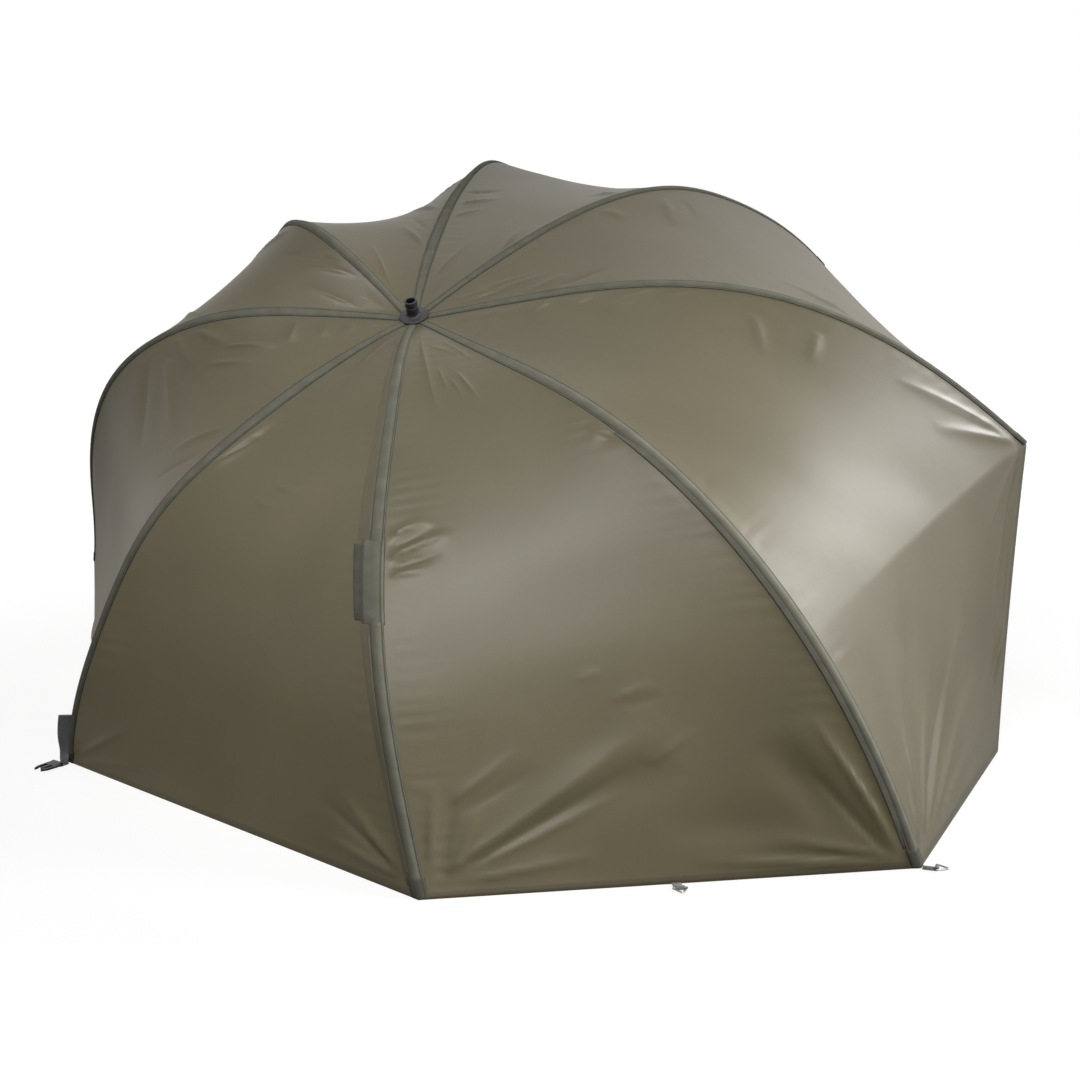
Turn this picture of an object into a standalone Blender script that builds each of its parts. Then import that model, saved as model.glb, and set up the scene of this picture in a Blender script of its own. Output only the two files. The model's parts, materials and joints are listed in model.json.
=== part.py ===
"""Fishing umbrella standing tilted back on the ground as a shelter.

Eight curved ribs hinge on a crown at the top of a straight pole. A runner on the pole spreads them through
eight stretchers. Eight cloth panels close the dome, and two of them run on to the ground as side wings.
The ground is z = 0, the open front faces -Y, and ribs 5, 6 and 7 stand on the ground at the back.

Most pieces are drawn in the crown frame: z along the pole and out of the dome, y up the dome's back.
"""
import math

import bmesh
import bpy
from mathutils import Matrix, Vector

MM = 0.001

# The umbrella as it stands
RIB_LENGTH = 1270 * MM
CROWN_HEIGHT = 853 * MM
POLE_TILT_DEG = 32.5
CROWN_SPIN_DEG = -8.6
RIB_COUNT = 8
REAR_RIB = 6
GROUND_RIBS = (5, 6, 7)
PATH_STEPS = 60

# Each rib: its slope below the crown's plane at six even places, its length, and its sideways drift
RIB_SLOPES_DEG = {
    1: (-28, -8, 56, 66, 64, 60),
    2: (0, 10, 14, 19, 35, 59),
    3: (-8, -1, 13, 35, 46, 58),
    4: (-8, -5, 10, 31, 45, 52),
    5: (-5, -6, 10, 30, 49, 64),
    6: (-22, 8, 8, 18, 40, 40),
    7: (-3, 5, 15, 46, 59, 76),
    8: (-11, -4, 26, 59, 73, 68),
}
RIB_LENGTH_SHARES = {1: 0.96, 2: 1.01, 3: 1.0, 4: 1.02, 5: 1.15, 6: 0.92, 7: 0.92, 8: 0.97}
RIB_DRIFT_DEG = {1: 15, 2: 9, 3: 3, 4: -2, 5: 6, 6: -12, 7: 12, 8: 6}

# Cloth
CLOTH = 2 * MM
CLOTH_HOLE_RADIUS = 14 * MM
SEAM_START_RADIUS = 38 * MM
SEAM_GAP = 0.4 * MM
SAG_SHARE = 0.022
HEM_RISE_SHARE = 0.012
# The wings' ground corners from the point under the crown, out and forward, as shares of the rib's length
WING_RIGHT_SHARES = (0.886, 0.189)
WING_LEFT_SHARES = (0.693, 0.197)
WING_RIB_ROW = 13
WING_BOW = 4 * MM
CLOTH_ROWS = 18
PANEL_COLUMNS = 5
FOLD_COLUMNS = 17
EDGE_STRIP_LIMIT_SHARE = 0.3
TAPE_WIDTH = 28 * MM
TAPE = 1.2 * MM
TAPE_GAP = 0.7 * MM
TAPE_RIDGE_SHARE = 1.12
SHARP_EDGE_DEG = 35

# Main folds of the two panels that show them: two ends as (along, across) shares, half width, depth
PANEL_FOLD_SHARES = {
    4: (
        (0.97, 0.90, 0.80, 0.16), (0.98, 0.90, 0.78, 0.08), (0.97, 0.86, 0.86, 0.20),
        (0.98, 0.86, 0.89, 0.08), (0.96, 0.92, 0.76, 0.62), (0.97, 0.95, 0.79, 0.71),
    ),
    5: (
        (0.95, 0.84, 0.84, 0.42), (0.96, 0.92, 0.79, 0.40), (0.96, 0.12, 0.83, 0.20),
        (0.97, 0.06, 0.80, 0.13), (0.94, 0.20, 0.94, 0.50), (0.97, 0.10, 0.97, 0.50),
    ),
}
FOLD_DEPTH = 8 * MM
FOLD_HALF_WIDTH = 36 * MM

# Ribs
ROD_RADIUS = 2.5 * MM
ROD_SIDES = 6
ROD_RINGS = 16
ROD_DROP = 10 * MM
ROD_START = 11 * MM
TIP_RADIUS = 4 * MM
TIP_LENGTH = 26 * MM
TIP_INSET = 20 * MM
BLADE = 2.6 * MM
BLADE_HALF_HEIGHT = 3.5 * MM
EYE_RADIUS = 4.5 * MM
STRETCHER_SHARE = 0.31
LUG_DROP = 10 * MM
LUG_RADIUS = 4 * MM
LUG = 2.4 * MM
RIVET_RADIUS = 1.2 * MM
RIVET_LENGTH = 5.6 * MM
RUNNING_GAP = 0.4 * MM

# Stretchers
STRETCHER_RADIUS = 2.5 * MM
FLAT = 2 * MM
FLAT_HALF_HEIGHT = 4 * MM
FLAT_LENGTH = 30 * MM
FLAT_TAPER = 12 * MM

# Crown and pole
PIVOT_RADIUS = 22 * MM
PIVOT_DEPTH = 10 * MM
SLOT_WIDTH = 3.6 * MM
SLOT_INNER_RADIUS = 16.5 * MM
POLE_RADIUS = 11 * MM
POLE_WALL = 1.5 * MM
SEAT_GAP = 0.3 * MM
ROUND_SIDES = 28
NOTCH_RADIUS = 27 * MM
HUB_TOP = 3.4 * MM
HUB_HEIGHT = 12.6 * MM
CAP_FLANGE_RADIUS = 28 * MM
CAP_FLANGE = 5 * MM
CAP_STUB_RADIUS = 12 * MM
CAP_STUB_HEIGHT = 37 * MM
CAP_BORE_RADIUS = 8.8 * MM
CAP_BORE_FLOOR = 10 * MM
CAP_PLUG_LENGTH = 25 * MM
CAP_FILLET = 2.5 * MM

# Runner and its button
RUNNER_DROP = 228 * MM
RUNNER_TRAVEL = 425 * MM
RUNNER_RADIUS = 16 * MM
RUNNER_LENGTH = 95 * MM
RUNNER_NOTCH_HEIGHT = 14 * MM
RUNNER_LIP = 3 * MM
BUTTON_RADIUS = 6 * MM
BUTTON_PROUD = 3.6 * MM
BUTTON_TRAVEL = 3 * MM
BUTTON_DROP = 52 * MM
BUTTON_SEAT = 3.6 * MM

# Tilt knuckle
KNUCKLE_DEPTH = 435 * MM
KNUCKLE_TOP = 22 * MM
KNUCKLE_SHOULDER = 13 * MM
TONGUE = 8.8 * MM
KNUCKLE_EYE_RADIUS = 10.4 * MM
KNUCKLE_PLUG_LENGTH = 24 * MM
TILT_PIN_RADIUS = 3 * MM
TILT_PIN_LENGTH = 18 * MM
CHEEK_INSET = 1.2 * MM
TRIM_GAP = 0.06 * MM
# The knuckle turns midway between two ribs, so that the pole clears their stretchers
TILT_HEADING_DEG = CROWN_SPIN_DEG + 360 / RIB_COUNT / 2
TILT_RANGE_DEG = 30

# Lower pole
LOWER_TUBE_END = 800 * MM
CLAMP_RADIUS = 17 * MM
CLAMP_GRIP = 22 * MM
CLAMP_BELOW = 26 * MM
CLAMP_BOSS_RADIUS = 8 * MM
CLAMP_BOSS_LENGTH = 24 * MM
CLAMP_BOSS_ROOT = 1 * MM
SCREW_RADIUS = 3 * MM
SCREW_HEAD_RADIUS = 13 * MM
SCREW_HEAD = 9 * MM
SCREW_LOBES = 6
SCREW_LOBE_DEPTH = 1.6 * MM
INNER_TUBE_RADIUS = 8.8 * MM
EXTENSION_HEADROOM = 19 * MM
INNER_TUBE_TOP = KNUCKLE_DEPTH + KNUCKLE_TOP + KNUCKLE_PLUG_LENGTH + EXTENSION_HEADROOM
INNER_TUBE_END = 880 * MM
SPIKE_COLLAR_RADIUS = 12 * MM
SPIKE_COLLAR = 6 * MM
SPIKE_PLUG_LENGTH = 30 * MM
SPIKE_TIP_RADIUS = 3 * MM
SPIKE_NECK = 8 * MM

# Pegging points and the corner strap
WEB = 1.6 * MM
WEB_WIDTH = 16 * MM
WEB_LENGTH = 26 * MM
WEB_RAISE = 0.5 * MM
WIRE_RADIUS = 1.5 * MM
WIRE_EYE_GAP = 0.5 * MM
RING_BAR = 25 * MM
RING_REACH = 20 * MM
RING_CORNER = 3.5 * MM
STRAP_WIDTH = 25 * MM
STRAP_HEIGHT = 112 * MM
STRAP_STAND_OFF = 3.2 * MM
STRAP_RUN = 26 * MM
STRAP_HEADING_DEG = 70
STRAP_TOP_SHARE = 0.5
# The hanging strap's places: share of its height, share of its top's lean, share of its stand-off
STRAP_ROUTE_SHARES = ((1, 1, 1), (0.6, 0.6, 1.6), (0.25, 0.22, 1.6), (0.08, 0.2, 1.6))
STRAP_FOOT_SHARE = 3.6
BUCKLE_LENGTH = 46 * MM
BUCKLE_WIDTH = 33 * MM
BUCKLE = 4 * MM
BUCKLE_BAR_RADIUS = 2 * MM
BUCKLE_SLOT = 7 * MM
BUCKLE_ARM = 5 * MM
BUCKLE_GUIDE = 6 * MM
# The prongs and their guide, from the body forward, as shares of the buckle's length and half width
PRONG_SHOULDER_SHARES = (0.75, 0.92)
PRONG_TIP_SHARES = (1, 0.55)
PRONG_NOTCH_SHARES = (0.86, 0.5)
PRONG_ROOT_SHARE = 0.7
GUIDE_SHARE = 0.8
SIDE_TAB_HEADING_DEG = 177


def clear_scene():
    for item in list(bpy.data.objects):
        bpy.data.objects.remove(item)


def painted(name, colour, roughness, metallic):
    made = bpy.data.materials.new(name)
    made.use_nodes = True
    shader = made.node_tree.nodes["Principled BSDF"]
    shader.inputs["Base Color"].default_value = (*colour, 1)
    shader.inputs["Roughness"].default_value = roughness
    shader.inputs["Metallic"].default_value = metallic
    return made


def make_object(name, mesh, look, parent=None, matrix=None):
    """Puts a mesh under its parent, with its own material and matrix as its place in the parent's frame."""
    made = bpy.data.objects.new(name, mesh)
    mesh.materials.append(painted(name, *look))
    bpy.context.collection.objects.link(made)
    made.parent = parent
    made.matrix_local = matrix or Matrix.Identity(4)
    return made


def make_empty(name, parent=None, matrix=None):
    made = bpy.data.objects.new(name, None)
    bpy.context.collection.objects.link(made)
    made.parent = parent
    made.matrix_local = matrix or Matrix.Identity(4)
    return made


def mesh_from(points, faces, smooth=False):
    mesh = bpy.data.meshes.new("mesh")
    mesh.from_pydata([tuple(point) for point in points], [], faces)
    work = bmesh.new()
    work.from_mesh(mesh)
    bmesh.ops.recalc_face_normals(work, faces=work.faces)
    work.to_mesh(mesh)
    work.free()
    if smooth:
        mesh.shade_smooth()
        mesh.set_sharp_from_angle(angle=math.radians(SHARP_EDGE_DEG))
    return mesh


def lofted(rings, closed=False):
    """Skins a list of rings with as many points each. The ends are flat unless it closes on itself."""
    count = len(rings[0])
    points = [point for ring in rings for point in ring]
    faces = []
    spans = len(rings) if closed else len(rings) - 1
    for row in range(spans):
        after = (row + 1) % len(rings)
        for k in range(count):
            other = (k + 1) % count
            faces.append((row * count + k, row * count + other, after * count + other, after * count + k))
    if not closed:
        faces.append(tuple(range(count)))
        faces.append(tuple(range((len(rings) - 1) * count, len(rings) * count)))
    return mesh_from(points, faces, smooth=True)


def turned(profile, sides=ROUND_SIDES):
    """Turns a closed (radius, z) outline round z. Points on the axis become poles."""
    points = []
    rows = []
    for radius, z in profile:
        if radius == 0:
            rows.append([len(points)])
            points.append(Vector((0, 0, z)))
            continue
        rows.append(list(range(len(points), len(points) + sides)))
        for k in range(sides):
            angle = math.tau * k / sides
            points.append(Vector((radius * math.cos(angle), radius * math.sin(angle), z)))
    faces = []
    for row, after in zip(rows, rows[1:] + rows[:1]):
        if len(row) == 1 and len(after) == 1:
            continue
        for k in range(sides):
            other = (k + 1) % sides
            face = [row[k % len(row)], row[other % len(row)]]
            face += [after[other % len(after)], after[k % len(after)]]
            faces.append(tuple(dict.fromkeys(face)))
    return mesh_from(points, faces, smooth=True)


def extruded(outline, low, high, axis="Y"):
    """Extrudes an outline from low to high. It lies in x, z for axis Y and in x, y for axis Z."""
    if axis == "Y":
        rings = [[Vector((x, level, z)) for x, z in outline] for level in (low, high)]
    else:
        rings = [[Vector((x, y, level)) for x, y in outline] for level in (low, high)]
    return lofted(rings)


def arc(centre, radius, start_deg, end_deg, steps):
    angles = [math.radians(start_deg + (end_deg - start_deg) * k / steps) for k in range(steps + 1)]
    return [(centre[0] + radius * math.cos(a), centre[1] + radius * math.sin(a)) for a in angles]


def joined(name, meshes, look, parent, matrix=None, cutters=()):
    """One solid from several overlapping meshes, less the cutters, all drawn in the parent's frame."""
    base = make_object(name, meshes[0], look, parent, matrix)
    for operation, tools in (("UNION", meshes[1:]), ("DIFFERENCE", cutters)):
        for tool in tools:
            helper = make_object(name + "_tool", tool, look, parent, matrix)
            helper.data.materials[0] = base.data.materials[0]
            helper.hide_render = True
            helper.display_type = "WIRE"
            step = base.modifiers.new(operation.title(), "BOOLEAN")
            step.operation = operation
            step.solver = "EXACT"
            step.object = helper
    return base


def smooth_value(knots, share):
    """A Catmull-Rom curve through evenly spaced values."""
    last = len(knots) - 1
    ends = (2 * knots[0] - knots[1], *knots, 2 * knots[-1] - knots[-2])
    share = min(max(share, 0), 1)
    index = min(int(share * last), last - 1)
    u = share * last - index
    a, b, c, d = ends[index:index + 4]
    return b + (c - a + (2 * a - 5 * b + 4 * c - d + (3 * (b - c) + d - a) * u) * u) * u / 2


def wrapped(number):
    return (number - 1) % RIB_COUNT + 1


def rib_directions(number):
    """The rib's heading from the crown, and the sideways direction towards the next rib."""
    heading = math.radians((number - REAR_RIB) * 360 / RIB_COUNT + CROWN_SPIN_DEG)
    out = Vector((math.sin(heading), math.cos(heading), 0))
    side = Vector((math.cos(heading), -math.sin(heading), 0))
    return out, side


def crown_frame():
    turn = Matrix.Rotation(-math.radians(POLE_TILT_DEG), 4, "X")
    return Matrix.Translation((0, 0, CROWN_HEIGHT)) @ turn


CROWN = crown_frame()
TO_CROWN = CROWN.inverted()


def seam_path(number):
    """The seam over one rib, from the hole at the crown to the hem, in the crown frame."""
    out, side = rib_directions(number)
    step = RIB_LENGTH * RIB_LENGTH_SHARES[number] / PATH_STEPS
    radius, drop, drift = SEAM_START_RADIUS, 0, 0
    points = [out * CLOTH_HOLE_RADIUS, out * SEAM_START_RADIUS]
    count = 2 * PATH_STEPS if number in GROUND_RIBS else PATH_STEPS
    for k in range(count):
        share = (k + 0.5) / PATH_STEPS
        slope = math.radians(smooth_value(RIB_SLOPES_DEG[number], share))
        beyond = max(0, min(share, 1) - STRETCHER_SHARE) / (1 - STRETCHER_SHARE)
        heading = math.radians(RIB_DRIFT_DEG[number]) * beyond
        radius += math.cos(slope) * math.cos(heading) * step
        drop += math.sin(slope) * math.cos(heading) * step
        drift += math.sin(heading) * step
        point = out * radius + side * drift - Vector((0, 0, drop))
        height = (CROWN @ point).z
        if number in GROUND_RIBS and height < 0:
            before = (CROWN @ points[-1]).z
            points.append(points[-1].lerp(point, before / (before - height)))
            break
        points.append(point)
    return points


def along(points, share):
    """The point at a share of a path's length."""
    lengths = [(b - a).length for a, b in zip(points, points[1:])]
    left = sum(lengths) * min(max(share, 0), 1)
    for a, b, length in zip(points, points[1:], lengths):
        if left <= length:
            return a.lerp(b, left / length)
        left -= length
    return points[-1].copy()


SEAMS = {number: seam_path(number) for number in range(1, RIB_COUNT + 1)}
SEAM_LENGTHS = {n: sum((b - a).length for a, b in zip(p, p[1:])) for n, p in SEAMS.items()}
SHARE_STEP = 0.01
# A short flat row under the crown's cap, then even rows to the hem
FIRST_ROW_SHARE = (SEAM_START_RADIUS - CLOTH_HOLE_RADIUS) / RIB_LENGTH
BEYOND_CAP_SHARE = 1 - FIRST_ROW_SHARE
ROW_SHARES = [0] + [FIRST_ROW_SHARE + BEYOND_CAP_SHARE * row / (CLOTH_ROWS - 1) for row in range(CLOTH_ROWS)]
WING_RIB_SHARE = ROW_SHARES[WING_RIB_ROW]


def seam_point(number, share):
    return along(SEAMS[number], share)


def seam_tangent(number, share):
    low, high = max(share - SHARE_STEP, 0), min(share + SHARE_STEP, 1)
    return (seam_point(number, high) - seam_point(number, low)).normalized()


def seam_normal(number, share):
    """Square to the seam and to the line between the two neighbouring seams, out of the dome."""
    share = max(share, SHARE_STEP)
    across = seam_point(wrapped(number + 1), share) - seam_point(wrapped(number - 1), share)
    return across.cross(seam_tangent(number, share)).normalized()


def rod_point(number, share):
    return seam_point(number, share) - seam_normal(number, share) * ROD_DROP


def wing_edge(number, corner, share):
    """The free front edge of a side wing, from the rib's tip down to its ground corner, bowed inwards."""
    tip = seam_point(number, 1)
    foot = TO_CROWN @ corner
    middle = TO_CROWN @ Vector((0, 0, 0))
    inwards = (middle - (tip + foot) / 2).normalized()
    return tip.lerp(foot, share) + inwards * WING_BOW * 4 * share * (1 - share)


WING_CORNERS = {
    4: Vector((-WING_RIGHT_SHARES[0], -WING_RIGHT_SHARES[1], 0)) * RIB_LENGTH,
    8: Vector((WING_LEFT_SHARES[0], -WING_LEFT_SHARES[1], 0)) * RIB_LENGTH,
}
WING_PANELS = {4: 4, 7: 8}


def rib_share(panel, number, share):
    """Where on a rib a share of the panel's edge lies: over 1 is beyond the tip, on a wing's free edge."""
    if WING_PANELS.get(panel) != number or share <= FIRST_ROW_SHARE:
        return share
    return FIRST_ROW_SHARE + (share - FIRST_ROW_SHARE) * BEYOND_CAP_SHARE / (WING_RIB_SHARE - FIRST_ROW_SHARE)


def panel_edge(panel, number, share):
    place = rib_share(panel, number, share)
    if place <= 1:
        return seam_point(number, place)
    return wing_edge(number, WING_CORNERS[number], (share - WING_RIB_SHARE) / (1 - WING_RIB_SHARE))


def panel_share(panel, number, place):
    """The share of the panel's edge that lies at a place on its rib."""
    if WING_PANELS.get(panel) != number or place <= FIRST_ROW_SHARE:
        return place
    return FIRST_ROW_SHARE + (place - FIRST_ROW_SHARE) * (WING_RIB_SHARE - FIRST_ROW_SHARE) / BEYOND_CAP_SHARE


def on_ground(panel):
    return panel in GROUND_RIBS or panel in WING_PANELS


def fold_height(panel, share, across, width, length):
    """The cloth's height over its plain shape at a place, from the panel's main folds."""
    total = 0
    here = Vector((share * length, across * width))
    for index, (share_a, across_a, share_b, across_b) in enumerate(PANEL_FOLD_SHARES.get(panel, ())):
        start = Vector((share_a * length, across_a * width))
        end = Vector((share_b * length, across_b * width))
        run = end - start
        place = min(max((here - start).dot(run) / run.length_squared, 0), 1)
        gap = (here - start - run * place).length / FOLD_HALF_WIDTH
        sign = 1 if index % 2 else -1
        total += sign * FOLD_DEPTH * math.exp(-gap * gap) * math.sin(math.pi * place)
    return total * min(1, 6 * across * (1 - across)) * min(1, 8 * (1 - share))


def panel_flat_point(panel, share, across):
    """The ruled surface between the panel's two edges."""
    if not on_ground(panel):
        share = share * (1 - HEM_RISE_SHARE * 4 * across * (1 - across))
    a = panel_edge(panel, panel, share)
    b = panel_edge(panel, wrapped(panel + 1), share)
    return a, b, a.lerp(b, across)


def panel_normal(panel, share, across):
    low, high = max(share - SHARE_STEP, 0), min(share + SHARE_STEP, 1)
    along_it = panel_flat_point(panel, high, across)[2] - panel_flat_point(panel, low, across)[2]
    a, b, _ = panel_flat_point(panel, share, across)
    return (b - a).cross(along_it).normalized()


def panel_point(panel, share, across):
    """The cloth's outer face: drawn in between the ribs by its tension, and creased by its folds."""
    a, b, point = panel_flat_point(panel, share, across)
    width = (b - a).length
    sag = SAG_SHARE * width * 4 * across * (1 - across)
    if on_ground(panel):
        sag *= 1 - share ** 4
    height = fold_height(panel, share, across, width, SEAM_LENGTHS[panel]) - sag
    return point + panel_normal(panel, share, across) * height


def edge_normal(panel, number, share):
    place = rib_share(panel, number, share)
    if place <= 1:
        return seam_normal(number, place)
    return panel_normal(panel, share, 0 if number == panel else 1)


def edge_strip(panel, share):
    """The share of the panel's width that half a seam tape covers."""
    a, b, _ = panel_flat_point(panel, share, 0)
    return min(TAPE_WIDTH / 2 / (b - a).length, EDGE_STRIP_LIMIT_SHARE)


def column_places(panel, share):
    """Places across the panel: a strip under each seam tape, and even columns between."""
    strip = edge_strip(panel, share)
    count = FOLD_COLUMNS if panel in PANEL_FOLD_SHARES else PANEL_COLUMNS
    between = [strip + (1 - 2 * strip) * column / count for column in range(count + 1)]
    return [0, *between, 1]


def stand_on_ground(point):
    """Lifts a point of the crown frame that reaches below the ground."""
    world = CROWN @ point
    world.z = max(world.z, 0)
    return TO_CROWN @ world


def panel_mesh(panel):
    after = wrapped(panel + 1)
    outer, inner = [], []
    for share in ROW_SHARES:
        a, b, _ = panel_flat_point(panel, share, 0)
        inset = (b - a).normalized() * SEAM_GAP
        places = column_places(panel, share)
        columns = len(places) - 1
        for across in places:
            point = panel_point(panel, share, across)
            normal = panel_normal(panel, share, across)
            if across == 0:
                point = point + inset
                normal = edge_normal(panel, panel, share)
            if across == 1:
                point = point - inset
                normal = edge_normal(panel, after, share)
            outer.append(stand_on_ground(point))
            inner.append(stand_on_ground(point - normal * CLOTH))
    stride = columns + 1
    offset = len(outer)
    faces = []
    for row in range(CLOTH_ROWS):
        for column in range(columns):
            k = row * stride + column
            for triangle in ((k, k + 1, k + stride + 1), (k, k + stride + 1, k + stride)):
                faces.append(triangle)
                faces.append(tuple(offset + index for index in reversed(triangle)))
    border = [column for column in range(stride)]
    border += [row * stride + columns for row in range(1, CLOTH_ROWS + 1)]
    border += [CLOTH_ROWS * stride + column for column in range(columns - 1, -1, -1)]
    border += [row * stride for row in range(CLOTH_ROWS - 1, 0, -1)]
    for a, b in zip(border, border[1:] + border[:1]):
        faces.append((a, offset + a, offset + b, b))
    return mesh_from(outer + inner, faces, smooth=True)


def tape_rows(number):
    """Every place along the rib where one of its two panels has a row."""
    rows = set()
    for panel in (wrapped(number - 1), number):
        rows.update(rib_share(panel, number, share) for share in ROW_SHARES[2:])
    return sorted(share for share in rows if share < BEYOND_CAP_SHARE) + [1]


def strip_place(panel, number, share):
    """The point and normal beside a seam tape on the panel's faceted face, at a place on the rib."""
    place = panel_share(panel, number, share)
    row = max(k for k in range(1, len(ROW_SHARES) - 1) if ROW_SHARES[k] <= place or k == 1)
    ends = []
    for level in ROW_SHARES[row:row + 2]:
        strip = edge_strip(panel, level)
        across = strip if panel == number else 1 - strip
        ends.append((panel_point(panel, level, across), panel_normal(panel, level, across)))
    part = (place - ROW_SHARES[row]) / (ROW_SHARES[row + 1] - ROW_SHARES[row])
    return [low.lerp(high, part) for low, high in zip(*ends)]


def tape_mesh(number):
    """The binding tape sewn over one seam: a shallow roof that lies on the two panels."""
    before = wrapped(number - 1)
    rings = []
    for share in tape_rows(number):
        ridge = seam_point(number, share)
        normal = seam_normal(number, share)
        left = strip_place(before, number, share)
        right = strip_place(number, number, share)
        ring = []
        for level in (TAPE_GAP, TAPE_GAP + TAPE):
            spine = ridge + normal * level * TAPE_RIDGE_SHARE
            row_points = [left[0] + left[1] * level, spine, right[0] + right[1] * level]
            ring += row_points if level == TAPE_GAP else row_points[::-1]
        rings.append([stand_on_ground(point) for point in ring])
    return lofted(rings)


def plane_point(out, radius, depth):
    return out * radius - Vector((0, 0, depth))


def sweep(points, radii, sides, up):
    """A round rod through points, each with its own radius."""
    rings = []
    for k, point in enumerate(points):
        before, after = points[max(k - 1, 0)], points[min(k + 1, len(points) - 1)]
        tangent = (after - before).normalized()
        across = tangent.cross(up).normalized()
        raised = across.cross(tangent)
        ring = []
        for corner in range(sides):
            angle = math.tau * (corner + 0.5) / sides
            ring.append(point + (across * math.cos(angle) + raised * math.sin(angle)) * radii[k])
        rings.append(ring)
    return lofted(rings)


def rib_frame(number):
    """x out along the rib's heading, y the folding axis and z out of the dome, at the rib's pivot."""
    out, side = rib_directions(number)
    turn = Matrix((out, -side, Vector((0, 0, 1)))).transposed().to_4x4()
    return Matrix.Translation(plane_point(out, PIVOT_RADIUS, PIVOT_DEPTH)) @ turn


def lug_point(number):
    """The stretcher's pivot under the rib."""
    return rod_point(number, STRETCHER_SHARE) - seam_normal(number, STRETCHER_SHARE) * LUG_DROP


class Linkage:
    """One rib with its stretcher: a crank on the crown, and a rod down to the sliding runner."""

    def __init__(self, number):
        self.number = number
        self.frame = rib_frame(number)
        lug = self.frame.inverted() @ lug_point(number)
        self.lug = Vector((lug.x, lug.z))
        self.drop = RUNNER_DROP
        self.foot = Vector((0, -self.drop))
        self.length = (self.lug - self.foot).length

    def folded_deg(self, travel):
        """How far the rib has turned when the runner has slid down by travel."""
        reach, depth = self.lug.length, self.drop + travel
        start = math.acos(-self.lug.y / reach)
        cosine = (reach ** 2 + depth ** 2 - self.length ** 2) / (2 * reach * depth)
        return math.degrees(start - math.acos(cosine))

    def stretcher_turn_deg(self, travel):
        """How far the stretcher has turned against its rib by then, the other way."""
        angle = math.radians(self.folded_deg(travel))
        cosine, sine = math.cos(angle), math.sin(angle)
        lug = Vector((self.lug.x * cosine + self.lug.y * sine, self.lug.y * cosine - self.lug.x * sine))
        before, after = self.foot - self.lug, Vector((0, -self.drop - travel)) - lug
        turned_by = math.atan2(before.x * after.y - before.y * after.x, before.dot(after))
        return math.degrees(turned_by + angle)


LINKAGES = {number: Linkage(number) for number in range(1, RIB_COUNT + 1)}


def folded_rib(number):
    """The motion of a rib from its place at rest to the folded end of its travel, in the crown frame."""
    frame = LINKAGES[number].frame
    turn = Matrix.Rotation(math.radians(LINKAGES[number].folded_deg(RUNNER_TRAVEL)), 4, "Y")
    return frame @ turn @ frame.inverted()


def panel_hinge(panel):
    """The axis and angle by which a panel, carried by its first rib, turns to keep up with the next one."""
    motion = folded_rib(panel).inverted() @ folded_rib(wrapped(panel + 1))
    axis, angle = motion.to_quaternion().to_axis_angle()
    shift = motion.translation - axis * motion.translation.dot(axis)
    centre = shift / 2 + axis.cross(shift) / (2 * math.tan(angle / 2))
    return centre, axis, angle


def axis_frame(centre, axis):
    return Matrix.Translation(centre) @ axis.to_track_quat("Z", "Y").to_matrix().to_4x4()


def rod_mesh(number, to_rib):
    out, _ = rib_directions(number)
    first = SEAM_START_RADIUS / SEAM_LENGTHS[number]
    last = 1 - TIP_INSET / SEAM_LENGTHS[number]
    tip = last - TIP_LENGTH / SEAM_LENGTHS[number]
    shares = [first + (tip - first) * k / ROD_RINGS for k in range(ROD_RINGS + 1)]
    points = [plane_point(out, PIVOT_RADIUS + ROD_START, PIVOT_DEPTH)]
    points += [rod_point(number, share) for share in shares]
    radii = [ROD_RADIUS] * len(points)
    points += [rod_point(number, tip + SHARE_STEP / 10), rod_point(number, last)]
    radii += [TIP_RADIUS, TIP_RADIUS]
    return sweep([to_rib @ point for point in points], radii, ROD_SIDES, Vector((0, 0, 1)))


def plate_outline(radius, reach):
    """A plate with a round end at the origin and a square end at reach."""
    return arc((0, 0), radius, 90, 270, 6) + [(reach, -radius), (reach, radius)]


def transformed(mesh, matrix):
    mesh.transform(matrix)
    return mesh


def build_rib(number, look, crown):
    frame = rib_frame(number)
    to_rib = frame.inverted()
    holder = make_empty(f"rib_{number}_pivot", crown, frame)
    blade = extruded(plate_outline(EYE_RADIUS, ROD_START + 2 * ROD_RADIUS), -BLADE / 2, BLADE / 2)
    lug = to_rib @ lug_point(number)
    rod = to_rib @ rod_point(number, STRETCHER_SHARE)
    rise = (rod - lug).normalized()
    turn = Matrix.Rotation(math.atan2(rise.x, rise.z) - math.pi / 2, 4, "Y")
    place = Matrix.Translation(lug) @ turn
    lug_plate = transformed(extruded(plate_outline(LUG_RADIUS, LUG_DROP), -LUG / 2, LUG / 2), place)
    rivet_ends = (-LUG / 4, RIVET_LENGTH)
    rivet = transformed(extruded(arc((0, 0), RIVET_RADIUS, 0, 315, 7), *rivet_ends), place)
    return joined(f"rib_{number}", [rod_mesh(number, to_rib), blade, lug_plate, rivet], look, holder)


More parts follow.
